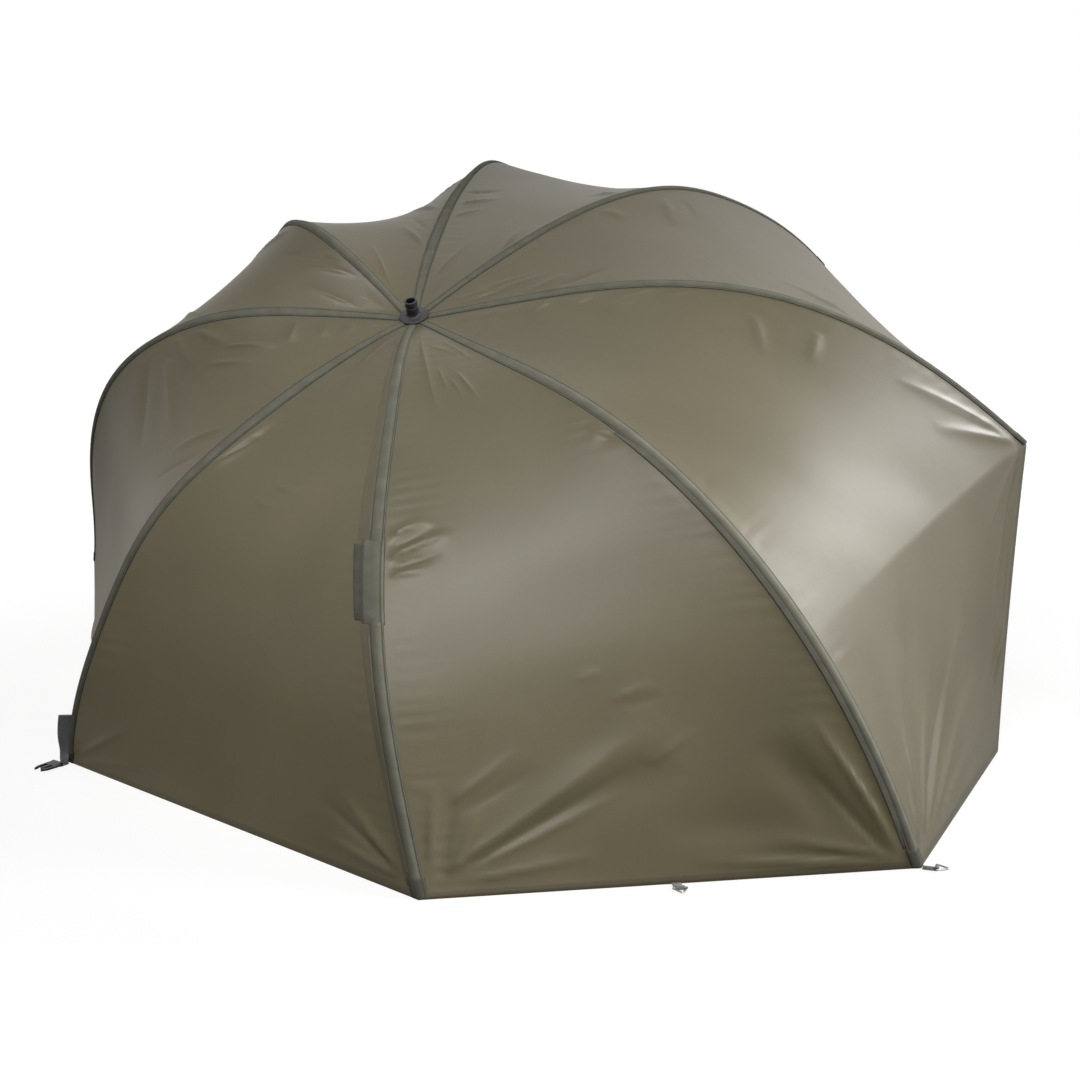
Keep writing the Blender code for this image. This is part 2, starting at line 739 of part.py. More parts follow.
def build_stretcher(number, look, crown):
    """A rod with pressed flat ends: the upper end laps the rib's lug, the foot sits in the runner's notch."""
    linkage = LINKAGES[number]
    run = linkage.foot - linkage.lug
    turn = Matrix.Rotation(-math.atan2(run.y, run.x), 4, "Y")
    lug = linkage.frame.inverted() @ lug_point(number)
    frame = linkage.frame @ Matrix.Translation((lug.x, lug.y, lug.z)) @ turn
    holder = make_empty(f"stretcher_{number}_pivot", crown, frame)
    lap = LUG / 2 + RUNNING_GAP + FLAT / 2
    foot = -lug.y
    bend = linkage.length - FLAT_LENGTH
    stations = (
        (-FLAT_HALF_HEIGHT, lap, FLAT / 2, FLAT_HALF_HEIGHT / 2),
        (-FLAT_HALF_HEIGHT / 2, lap, FLAT / 2, FLAT_HALF_HEIGHT),
        (FLAT_TAPER, lap, FLAT / 2, FLAT_HALF_HEIGHT),
        (2 * FLAT_TAPER, lap / 2, STRETCHER_RADIUS, STRETCHER_RADIUS),
        (bend - FLAT_TAPER, foot, STRETCHER_RADIUS, STRETCHER_RADIUS),
        (bend, foot, BLADE / 2, FLAT_HALF_HEIGHT),
        (linkage.length + FLAT_HALF_HEIGHT / 2, foot, BLADE / 2, FLAT_HALF_HEIGHT),
        (linkage.length + FLAT_HALF_HEIGHT, foot, BLADE / 2, FLAT_HALF_HEIGHT / 2),
    )
    rings = []
    for x, y, half_width, half_height in stations:
        ring = []
        for corner in range(8):
            angle = math.tau * (corner + 0.5) / 8
            wide = half_width * math.cos(angle) / math.cos(math.pi / 8)
            tall = half_height * math.sin(angle) / math.cos(math.pi / 8)
            ring.append(Vector((x, y + wide, tall)))
        rings.append(ring)
    hole = extruded(arc((0, 0), RIVET_RADIUS + RUNNING_GAP, 0, 315, 7), LUG / 2, 2 * lap)
    return joined(f"stretcher_{number}", [lofted(rings)], look, holder, cutters=[hole])


def slot_cutters(low, high):
    """Eight radial slots, one for each rib."""
    cutters = []
    for number in range(1, RIB_COUNT + 1):
        out, side = rib_directions(number)
        corners = []
        for radius, offset in ((SLOT_INNER_RADIUS, -1), (2 * NOTCH_RADIUS, -1), (2 * NOTCH_RADIUS, 1),
                               (SLOT_INNER_RADIUS, 1)):
            corner = out * radius + side * offset * SLOT_WIDTH / 2
            corners.append((corner.x, corner.y))
        cutters.append(extruded(corners, low, high, axis="Z"))
    return cutters


def build_crown(looks, crown):
    bore = POLE_RADIUS - POLE_WALL - SEAT_GAP
    cap = (
        (0, -CAP_PLUG_LENGTH), (bore, -CAP_PLUG_LENGTH), (bore, SEAT_GAP), (CAP_FLANGE_RADIUS, SEAT_GAP),
        (CAP_FLANGE_RADIUS, SEAT_GAP + CAP_FLANGE / 2), (CAP_FLANGE_RADIUS - CAP_FILLET, CAP_FLANGE),
        (CAP_STUB_RADIUS + CAP_FILLET, CAP_FLANGE + CAP_FILLET / 2),
        (CAP_STUB_RADIUS, CAP_FLANGE + 2 * CAP_FILLET),
        (CAP_STUB_RADIUS, CAP_STUB_HEIGHT), (CAP_BORE_RADIUS, CAP_STUB_HEIGHT),
        (CAP_BORE_RADIUS, CAP_BORE_FLOOR), (0, CAP_BORE_FLOOR),
    )
    make_object("crown_cap", turned(cap), looks["black_plastic"], crown)
    low = -HUB_TOP - HUB_HEIGHT
    ring = (
        (POLE_RADIUS + SEAT_GAP, -HUB_TOP), (POLE_RADIUS + SEAT_GAP, low),
        (NOTCH_RADIUS, low), (NOTCH_RADIUS, -HUB_TOP),
    )
    cutters = slot_cutters(low - HUB_HEIGHT, HUB_HEIGHT)
    joined("crown_hub", [turned(ring)], looks["black_plastic"], crown, cutters=cutters)
    end = -KNUCKLE_DEPTH + KNUCKLE_TOP + SEAT_GAP
    wall = POLE_RADIUS - POLE_WALL
    tube = ((POLE_RADIUS, end), (POLE_RADIUS, 0), (wall, 0), (wall, end))
    make_object("upper_pole", turned(tube), looks["painted_steel"], crown)


def build_runner(looks, crown):
    holder = make_empty("runner_slide", crown, Matrix.Translation((0, 0, -PIVOT_DEPTH - RUNNER_DROP)))
    bore = POLE_RADIUS + SEAT_GAP
    top, notch = RUNNER_NOTCH_HEIGHT / 2, -RUNNER_NOTCH_HEIGHT / 2
    low = top - RUNNER_LENGTH
    profile = (
        (bore, top), (bore, low), (RUNNER_RADIUS + RUNNER_LIP, low),
        (RUNNER_RADIUS + RUNNER_LIP, low + RUNNER_LIP),
        (RUNNER_RADIUS, low + 2 * RUNNER_LIP), (RUNNER_RADIUS, notch - RUNNER_LIP), (NOTCH_RADIUS, notch),
        (NOTCH_RADIUS, top),
    )
    window = sweep([Vector((0, 0, -BUTTON_DROP)), Vector((0, -2 * NOTCH_RADIUS, -BUTTON_DROP))],
                   [BUTTON_RADIUS + RUNNING_GAP] * 2, 16, Vector((0, 0, 1)))
    cutters = slot_cutters(notch - RUNNER_LIP / 2, 2 * top) + [window]
    joined("runner", [turned(profile)], looks["black_plastic"], holder, cutters=cutters)
    out = POLE_RADIUS + BUTTON_SEAT
    place = Matrix.Translation((0, -out, -BUTTON_DROP)) @ Matrix.Rotation(math.pi / 2, 4, "X")
    button_holder = make_empty("runner_button_slide", holder, place)
    proud = RUNNER_RADIUS + BUTTON_PROUD - out
    button = (
        (0, 0), (BUTTON_RADIUS, 0), (BUTTON_RADIUS, proud - BUTTON_PROUD / 3),
        (BUTTON_RADIUS - BUTTON_PROUD / 3, proud), (0, proud),
    )
    make_object("runner_button", turned(button, 16), looks["grey_plastic"], button_holder)


def knuckle_part(name, look, parent, sign, eye_low, eye_high):
    """A solid end of the tilt knuckle: a plug in the tube, a shoulder, and an eye round the pin.
    Its eye is trimmed to the pole's outline, so that the runner slides over it."""
    plug = POLE_RADIUS - POLE_WALL - SEAT_GAP
    end, seat, flat = sign * (KNUCKLE_TOP + KNUCKLE_PLUG_LENGTH), sign * KNUCKLE_TOP, sign * KNUCKLE_SHOULDER
    profile = ((0, end), (plug, end), (plug, seat), (POLE_RADIUS, seat), (POLE_RADIUS, flat), (0, flat))
    outline = [(x, sign * z) for x, z in arc((0, 0), KNUCKLE_EYE_RADIUS, 180, 360, 14)]
    reach = flat + sign * RUNNING_GAP
    outline += [(KNUCKLE_EYE_RADIUS, reach), (-KNUCKLE_EYE_RADIUS, reach)]
    turn = Matrix.Rotation(math.pi / 2, 4, "Z")
    cheeks = [transformed(extruded(outline, low, high), turn) for low, high in zip(eye_low, eye_high)]
    bore = arc((0, 0), TILT_PIN_RADIUS + SEAT_GAP, 0, 345, 15)
    hole = transformed(extruded(bore, -2 * POLE_RADIUS, 2 * POLE_RADIUS), turn)
    rim, wide = POLE_RADIUS + TRIM_GAP, 2 * POLE_RADIUS
    trim = turned(((rim, -KNUCKLE_TOP), (wide, -KNUCKLE_TOP), (wide, KNUCKLE_TOP), (rim, KNUCKLE_TOP)))
    return joined(name, [turned(profile)] + cheeks, look, parent, cutters=[hole, trim])


def build_tilt(looks, crown):
    """The eye of the lower part turns between the two cheeks of the upper part, inside the pole's outline."""
    turn = Matrix.Rotation(-math.radians(TILT_HEADING_DEG), 4, "Z")
    holder = make_empty("tilt_pivot", crown, Matrix.Translation((0, 0, -KNUCKLE_DEPTH)) @ turn)
    inner = TONGUE / 2 + RUNNING_GAP
    outer = POLE_RADIUS - CHEEK_INSET
    knuckle_part("tilt_fork", looks["black_plastic"], holder, 1, (-outer, inner), (-inner, outer))
    knuckle_part("tilt_tongue", looks["black_plastic"], holder, -1, (-TONGUE / 2,), (TONGUE / 2,))
    pin = transformed(turned(((0, -TILT_PIN_LENGTH / 2), (TILT_PIN_RADIUS, -TILT_PIN_LENGTH / 2),
                              (TILT_PIN_RADIUS, TILT_PIN_LENGTH / 2), (0, TILT_PIN_LENGTH / 2)), 16),
                      Matrix.Rotation(math.pi / 2, 4, "Y"))
    make_object("tilt_pin", pin, looks["bright_steel"], holder)
    return holder


def build_lower_pole(looks, holder):
    """Everything below the knuckle hangs from its pivot, which is the zero of these depths."""
    start = -KNUCKLE_TOP - SEAT_GAP
    end = KNUCKLE_DEPTH - LOWER_TUBE_END
    wall = POLE_RADIUS - POLE_WALL
    tube = ((POLE_RADIUS, end), (POLE_RADIUS, start), (wall, start), (wall, end))
    make_object("lower_pole", turned(tube), looks["painted_steel"], holder)
    top, low = end + CLAMP_GRIP, end - CLAMP_BELOW
    rim = POLE_RADIUS + SEAT_GAP
    bore = INNER_TUBE_RADIUS + SEAT_GAP
    collar = (
        (rim, top), (rim, end - SEAT_GAP), (bore, end - SEAT_GAP), (bore, low),
        (CLAMP_RADIUS, low), (CLAMP_RADIUS, top),
    )
    height = (end - SEAT_GAP + low) / 2
    boss = sweep([Vector((0, -rim - CLAMP_BOSS_ROOT, height)), Vector((0, -CLAMP_BOSS_LENGTH, height))],
                 [CLAMP_BOSS_RADIUS] * 2, 16, Vector((0, 0, 1)))
    hole = sweep([Vector((0, -bore / 2, height)), Vector((0, -2 * CLAMP_BOSS_LENGTH, height))],
                 [SCREW_RADIUS + SEAT_GAP] * 2, 12, Vector((0, 0, 1)))
    joined("clamp_collar", [turned(collar), boss], looks["black_plastic"], holder, cutters=[hole])
    place = Matrix.Translation((0, 0, height)) @ Matrix.Rotation(math.pi / 2, 4, "X")
    screw_holder = make_empty("clamp_screw_pivot", holder, place)
    lobes = []
    for k in range(8 * SCREW_LOBES):
        angle = math.tau * k / (8 * SCREW_LOBES)
        radius = SCREW_HEAD_RADIUS - SCREW_LOBE_DEPTH * (1 - math.cos(SCREW_LOBES * angle)) / 2
        lobes.append((radius * math.cos(angle), radius * math.sin(angle)))
    face = CLAMP_BOSS_LENGTH + SEAT_GAP
    head = extruded(lobes, face, face + SCREW_HEAD, axis="Z")
    shaft = turned(((0, INNER_TUBE_RADIUS + SEAT_GAP), (SCREW_RADIUS, INNER_TUBE_RADIUS + SEAT_GAP),
                    (SCREW_RADIUS, face + SCREW_HEAD / 2), (0, face + SCREW_HEAD / 2)), 12)
    joined("clamp_screw", [head, shaft], looks["black_plastic"], screw_holder)
    inner_holder = make_empty("pole_extension_slide", holder)
    top, low = KNUCKLE_DEPTH - INNER_TUBE_TOP, KNUCKLE_DEPTH - INNER_TUBE_END
    wall = INNER_TUBE_RADIUS - POLE_WALL
    tube = ((INNER_TUBE_RADIUS, low), (INNER_TUBE_RADIUS, top), (wall, top), (wall, low))
    make_object("extension_tube", turned(tube), looks["bright_steel"], inner_holder)
    ground = KNUCKLE_DEPTH - CROWN_HEIGHT / math.cos(math.radians(POLE_TILT_DEG))
    tip = ground + SPIKE_TIP_RADIUS * math.tan(math.radians(POLE_TILT_DEG))
    plug = wall - SEAT_GAP
    spike = (
        (0, low + SPIKE_PLUG_LENGTH), (0, tip), (SPIKE_TIP_RADIUS, tip), (SPIKE_NECK, low - 2 * SPIKE_COLLAR),
        (SPIKE_COLLAR_RADIUS, low - SPIKE_COLLAR - SEAT_GAP), (SPIKE_COLLAR_RADIUS, low - SEAT_GAP),
        (plug, low - SEAT_GAP), (plug, low + SPIKE_PLUG_LENGTH),
    )
    make_object("ground_spike", turned(spike), looks["bright_steel"], inner_holder)


def ribbon(points, thickness, low, high):
    """A flat strap of even thickness through (x, z) points, as wide as low to high in y."""
    left, right = [], []
    for k, point in enumerate(points):
        before, after = points[max(k - 1, 0)], points[min(k + 1, len(points) - 1)]
        run = Vector((after[0] - before[0], after[1] - before[1])).normalized()
        normal = Vector((-run.y, run.x)) * thickness / 2
        left.append((point[0] + normal.x, point[1] + normal.y))
        right.append((point[0] - normal.x, point[1] - normal.y))
    return extruded(left + right[::-1], low, high)


def web_eye(start, eye, radius):
    """A strap's centre line: out to the eye, round it, and back on top of itself."""
    return [start, (eye[0], eye[1] - radius)] + arc(eye, radius, -70, 170, 8)


def ring_mesh(bar, reach, corner, radius, sides):
    """A wire triangle: its bar along y at the origin, its point at +x."""
    corners = [Vector((0, -bar / 2, 0)), Vector((reach, 0, 0)), Vector((0, bar / 2, 0))]
    points = []
    for k, here in enumerate(corners):
        for other in (corners[k - 1], corners[(k + 1) % 3]):
            points.append(here + (other - here).normalized() * corner)
        middle = (corners[k - 1] + corners[(k + 1) % 3]) / 2
        points.insert(-1, here + (middle - here).normalized() * corner / 2)
    rings = []
    for k, point in enumerate(points):
        tangent = (points[(k + 1) % len(points)] - points[k - 1]).normalized()
        across = Vector((0, 0, 1)).cross(tangent)
        ring = []
        for side in range(sides):
            angle = math.tau * (side + 0.5) / sides
            ring.append(point + (across * math.cos(angle) + Vector((0, 0, 1)) * math.sin(angle)) * radius)
        rings.append(ring)
    return lofted(rings, closed=True)


def outward_frame(place, outwards):
    """A frame on the ground at place: x points outwards, y along the hem and z up."""
    x = Vector((outwards.x, outwards.y, 0)).normalized()
    y = Vector((0, 0, 1)).cross(x)
    return Matrix.Translation(place) @ Matrix((x, y, Vector((0, 0, 1)))).transposed().to_4x4()


def build_peg_point(suffix, place, outwards, start, looks, ground):
    """A short webbing tab on the hem, from start outwards, holding a wire ring for a peg."""
    frame = outward_frame(place, outwards)
    holder = make_empty(f"peg_tab_{suffix}_place", ground, frame)
    radius = WIRE_RADIUS + WIRE_EYE_GAP + WEB / 2
    eye = (WEB_LENGTH, radius + WEB / 2 + WEB_RAISE)
    path = web_eye((start, WEB / 2 + WEB_RAISE), eye, radius)
    tab = ribbon(path, WEB, -WEB_WIDTH / 2, WEB_WIDTH / 2)
    make_object(f"peg_tab_{suffix}", tab, looks["webbing"], holder)
    ring_holder = make_empty(f"peg_ring_{suffix}_pivot", holder, Matrix.Translation((eye[0], 0, eye[1])))
    ring = ring_mesh(RING_BAR, RING_REACH, RING_CORNER, WIRE_RADIUS, 6)
    make_object(f"peg_ring_{suffix}", ring, looks["bright_steel"], ring_holder)


def height_crossing(places, height):
    """Where a falling line of world points passes a height."""
    for a, b in zip(places, places[1:]):
        if a.z >= height >= b.z:
            return a.lerp(b, (a.z - height) / (a.z - b.z))
    return places[0]


def build_strap(looks, ground):
    """A webbing strap that hangs from the left rear corner, ending in the male half of a buckle."""
    tip = CROWN @ seam_point(7, 1)
    heading = math.radians(STRAP_HEADING_DEG)
    outwards = Vector((math.cos(heading), math.sin(heading), 0))
    holder = make_empty("corner_strap_place", ground, outward_frame(Vector((tip.x, tip.y, 0)), outwards))
    places = [CROWN @ seam_point(7, share) for share in ROW_SHARES if share > STRAP_TOP_SHARE]
    top = height_crossing(places, STRAP_HEIGHT)
    lean = (top - tip).dot(outwards)
    bar = WEB / 2 + BUCKLE_BAR_RADIUS * math.sqrt(2) + WIRE_EYE_GAP
    eye_z = bar + WEB / 2 + WEB_RAISE
    eye = (STRAP_STAND_OFF + STRAP_RUN, eye_z)
    start = [(lean * lean_share + STRAP_STAND_OFF * stand_share, STRAP_HEIGHT * height_share)
             for height_share, lean_share, stand_share in STRAP_ROUTE_SHARES]
    path = start + web_eye((STRAP_STAND_OFF * STRAP_FOOT_SHARE, WEB / 2 + WEB_RAISE), eye, bar)
    strap = ribbon(path, WEB, -STRAP_WIDTH / 2, STRAP_WIDTH / 2)
    make_object("corner_strap", strap, looks["webbing"], holder)
    build_buckle(looks, holder, eye)


def build_buckle(looks, holder, eye):
    place = make_empty("corner_buckle_place", holder, Matrix.Translation((eye[0], 0, eye[1])))
    half = BUCKLE_WIDTH / 2
    back, body = -BUCKLE_BAR_RADIUS, BUCKLE_SLOT + BUCKLE_ARM
    hollow = half - BUCKLE_ARM
    side = [(back, half), (body, half)]
    for along_share, across_share in (PRONG_SHOULDER_SHARES, PRONG_TIP_SHARES, PRONG_NOTCH_SHARES):
        side.append((BUCKLE_LENGTH * along_share, half * across_share))
    side += [(BUCKLE_LENGTH * PRONG_ROOT_SHARE, hollow), (body + BUCKLE_ARM, hollow),
             (body + BUCKLE_ARM, BUCKLE_GUIDE / 2), (BUCKLE_LENGTH * GUIDE_SHARE, BUCKLE_GUIDE / 2)]
    outline = side + [(x, -y) for x, y in reversed(side)]
    plate = extruded(outline, -BUCKLE / 2, BUCKLE / 2, axis="Z")
    wide = STRAP_WIDTH / 2 + RUNNING_GAP
    slot = [(BUCKLE_BAR_RADIUS, -wide), (BUCKLE_SLOT, -wide), (BUCKLE_SLOT, wide), (BUCKLE_BAR_RADIUS, wide)]
    cutter = extruded(slot, -BUCKLE, BUCKLE, axis="Z")
    joined("corner_buckle", [plate], looks["black_plastic"], place, cutters=[cutter])


def looks():
    """Colour, roughness and metallic value of each kind of stuff."""
    return {
        "cloth": ((0.19, 0.17, 0.12), 0.45, 0),
        "tape": ((0.13, 0.13, 0.09), 0.7, 0),
        "black_plastic": ((0.02, 0.02, 0.022), 0.45, 0),
        "grey_plastic": ((0.12, 0.12, 0.13), 0.5, 0),
        "painted_steel": ((0.05, 0.055, 0.05), 0.4, 0.3),
        "bright_steel": ((0.6, 0.6, 0.6), 0.3, 1),
        "rod": ((0.03, 0.03, 0.03), 0.35, 0.4),
        "webbing": ((0.1, 0.1, 0.11), 0.9, 0),
    }


def centre_on_origin(root):
    """Moves the whole umbrella so that the middle of its box stands over the origin."""
    bpy.context.view_layer.update()
    corners = []
    for item in bpy.data.objects:
        if item.type == "MESH" and not item.hide_render:
            corners += [item.matrix_world @ vertex.co for vertex in item.data.vertices]
    for axis in (0, 1):
        values = [corner[axis] for corner in corners]
        root.location[axis] -= (min(values) + max(values)) / 2


def build():
    clear_scene()
    palette = looks()
    root = make_empty("umbrella")
    crown = make_empty("crown", root, CROWN)
    build_crown(palette, crown)
    build_runner(palette, crown)
    for number in range(1, RIB_COUNT + 1):
        build_rib(number, palette["rod"], crown)
        build_stretcher(number, palette["rod"], crown)
        make_object(f"seam_tape_{number}", transformed(tape_mesh(number), rib_frame(number).inverted()),
                    palette["tape"], crown, rib_frame(number))
        centre, axis, _ = panel_hinge(number)
        frame = axis_frame(centre, axis)
        make_object(f"canopy_panel_{number}", transformed(panel_mesh(number), frame.inverted()),
                    palette["cloth"], crown, frame)
    tilt = build_tilt(palette, crown)
    build_lower_pole(palette, tilt)
    rear = CROWN @ panel_point(5, 1, 0.5)
    corner, other = CROWN @ seam_point(5, 1), CROWN @ seam_point(6, 1)
    behind = Vector((corner.y - other.y, other.x - corner.x, 0))
    build_peg_point("rear", Vector((rear.x, rear.y, 0)), behind, SEAT_GAP, palette, root)
    heading = math.radians(SIDE_TAB_HEADING_DEG)
    aside = Vector((math.cos(heading), math.sin(heading), 0))
    build_peg_point("side", Vector((corner.x, corner.y, 0)), aside, TAPE_GAP + TAPE + 4 * SEAT_GAP, palette, root)
    build_strap(palette, root)
    centre_on_origin(root)
    bpy.context.view_layer.update()


build()
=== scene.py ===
"""The looks of the fishing umbrella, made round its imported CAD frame.

The cloth is worked out in the frame's metres from the same eight seams as the CAD's cloth. Small parts are
drawn in the crown's frame: z along the pole and out of the dome, y up the dome's back.
"""
import json
import math

import bmesh
import bpy
import numpy as np
from mathutils import Matrix, Vector, noise


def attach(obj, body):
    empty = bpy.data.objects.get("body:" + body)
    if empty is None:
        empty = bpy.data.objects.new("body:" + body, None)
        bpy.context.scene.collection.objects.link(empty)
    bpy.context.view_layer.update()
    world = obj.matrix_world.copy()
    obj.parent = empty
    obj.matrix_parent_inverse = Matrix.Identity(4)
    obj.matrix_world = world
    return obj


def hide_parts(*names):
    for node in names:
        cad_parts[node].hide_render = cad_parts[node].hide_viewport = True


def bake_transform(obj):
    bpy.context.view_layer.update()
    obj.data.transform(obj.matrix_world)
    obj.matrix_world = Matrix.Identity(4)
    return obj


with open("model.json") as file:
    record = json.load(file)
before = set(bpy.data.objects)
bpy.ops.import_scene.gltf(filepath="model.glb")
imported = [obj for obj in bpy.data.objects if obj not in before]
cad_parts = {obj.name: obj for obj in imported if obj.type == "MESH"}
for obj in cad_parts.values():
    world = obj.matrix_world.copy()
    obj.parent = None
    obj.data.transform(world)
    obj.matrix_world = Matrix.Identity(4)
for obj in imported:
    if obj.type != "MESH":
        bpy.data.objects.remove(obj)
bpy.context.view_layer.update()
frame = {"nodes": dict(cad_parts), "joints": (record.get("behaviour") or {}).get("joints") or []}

MM = 0.001
UP = Vector((0, 0, 1))

# The umbrella as it stands, with the CAD's own sizes
RIB_LENGTH = 1270 * MM
CROWN_HEIGHT = 853 * MM
POLE_TILT_DEG = 32.5
CROWN_SPIN_DEG = -8.6
RIB_COUNT = 8
REAR_RIB = 6
GROUND_RIBS = (5, 6, 7)
PATH_STEPS = 240
RIB_SLOPES_DEG = {
    1: (-28, -8, 56, 66, 64, 60),
    2: (0, 10, 14, 19, 35, 59),
    3: (-8, -1, 13, 35, 46, 58),
    4: (-8, -5, 10, 31, 45, 52),
    5: (-5, -6, 10, 30, 49, 64),
    6: (-22, 8, 8, 18, 40, 40),
    7: (-3, 5, 15, 46, 59, 76),
    8: (-11, -4, 26, 59, 73, 68),
}
RIB_LENGTH_SHARES = {1: 0.96, 2: 1.01, 3: 1.0, 4: 1.02, 5: 1.15, 6: 0.92, 7: 0.92, 8: 0.97}
RIB_DRIFT_DEG = {1: 15, 2: 9, 3: 3, 4: -2, 5: 6, 6: -12, 7: 12, 8: 6}
STRETCHER_SHARE = 0.31
PIVOT_RADIUS = 22 * MM
PIVOT_DEPTH = 10 * MM

CLOTH_HOLE_RADIUS = 14 * MM
SEAM_START_RADIUS = 38 * MM
SAG_SHARE = 0.022
HEM_RISE_SHARE = 0.012
WING_RIGHT_SHARES = (0.886, 0.189)
WING_LEFT_SHARES = (0.693, 0.197)
WING_RIB_ROW = 13
WING_BOW = 4 * MM
CAD_ROWS = 18
SHARE_STEP = 0.01

# The fine cloth: its points, its hem, and where its surface detail fades out
SHEET = 1 * MM
ROWS = 200
COLUMNS = 124
PLAIN_ROWS = 130
PLAIN_COLUMNS = 84
CREASED_PANELS = (4, 5, 6, 7)
HEM_WIDTH = 13 * MM
HEM_RAISE = 0.7 * MM
HEM_STEP = 2 * MM
EDGE_FADE = 26 * MM
CAP_FADE_SHARE = 0.04
# The rear peg rides on canopy_5 in the middle of its hem. Panel 5's unused weights reach full by there
REAR_PEG_PANEL = 5
REAR_PEG_FOLLOW_SHARE = 0.45

# Seam tapes: across them, distance and height as shares of the half width and of the raise
TAPE_WIDTH = 28 * MM
TAPE_RAISE = 1.6 * MM
TAPE_PROFILE_SHARES = (
    (-1, 0.2), (-0.95, 0.85), (-0.8, 0.95), (-0.74, 0.5), (-0.68, 0.95), (-0.35, 1), (0, 1.1), (0.35, 1),
    (0.68, 0.95), (0.74, 0.5), (0.8, 0.95), (0.95, 0.85), (1, 0.2),
)
TAPE_CROWN_SHARE = 0.62
TAPE_FULL_SHARE = 0.22
FLANGE_RADIUS = 28 * MM
TAPE_ROWS = 130
RIDGE_REACH = TAPE_WIDTH / 5

# Patches and flaps on a seam: its rib, two ends along it, two sides at each end in mm, thickness, look, rows
SEAM_PATCHES = {
    "rear_flap_upper": (6, (0.085, 0.505), (9, 17), (11, 40), 1.9 * MM, "cloth_plain", 80),
    "rear_patch": (6, (0.493, 0.632), (-16, 31), (-16, 31), 3.1 * MM, "tape", 40),
    "rear_patch_flap": (6, (0.505, 0.628), (28, 46), (28, 45), 2.2 * MM, "tape_dark", 40),
    "rear_flap_lower": (6, (0.625, 0.985), (12, 32), (10, 22), 1.9 * MM, "cloth_plain", 80),
    "right_flap": (5, (0.392, 0.975), (8, 20), (9, 19), 2.4 * MM, "tape", 110),
}
TIP_PATCH_LENGTH = 34 * MM
TIP_PATCH_SIDES = ((-16, 16), (-15, 15))
TIP_PATCH = 2.9 * MM
TIP_PATCH_ROWS = 20
# A patch's section: share of its width, share of its thickness
PATCH_PROFILE_SHARES = (
    (0, 0.1), (0.04, 0.85), (0.12, 1), (0.3, 1), (0.5, 1), (0.7, 1), (0.88, 1), (0.96, 0.85), (1, 0.1),
)
PATCH_END_SHARE = 0.1
PATCH_END_SLOPE = 12
PATCH_SKIN_SHARE = 0.98

# Main folds, as in the CAD: two ends as (along, across) shares
PANEL_FOLD_SHARES = {
    4: (
        (0.97, 0.90, 0.80, 0.16), (0.98, 0.90, 0.78, 0.08), (0.97, 0.86, 0.86, 0.20),
        (0.98, 0.86, 0.89, 0.08), (0.96, 0.92, 0.76, 0.62), (0.97, 0.95, 0.79, 0.71),
    ),
    5: (
        (0.95, 0.84, 0.84, 0.42), (0.96, 0.92, 0.79, 0.40), (0.96, 0.12, 0.83, 0.20),
        (0.97, 0.06, 0.80, 0.13), (0.94, 0.20, 0.94, 0.50), (0.97, 0.10, 0.97, 0.50),
    ),
}
FOLD_DEPTH = 8 * MM
FOLD_HALF_WIDTH = 36 * MM
FOLD_SEAM_FADE = 6
FOLD_HEM_FADE = 8

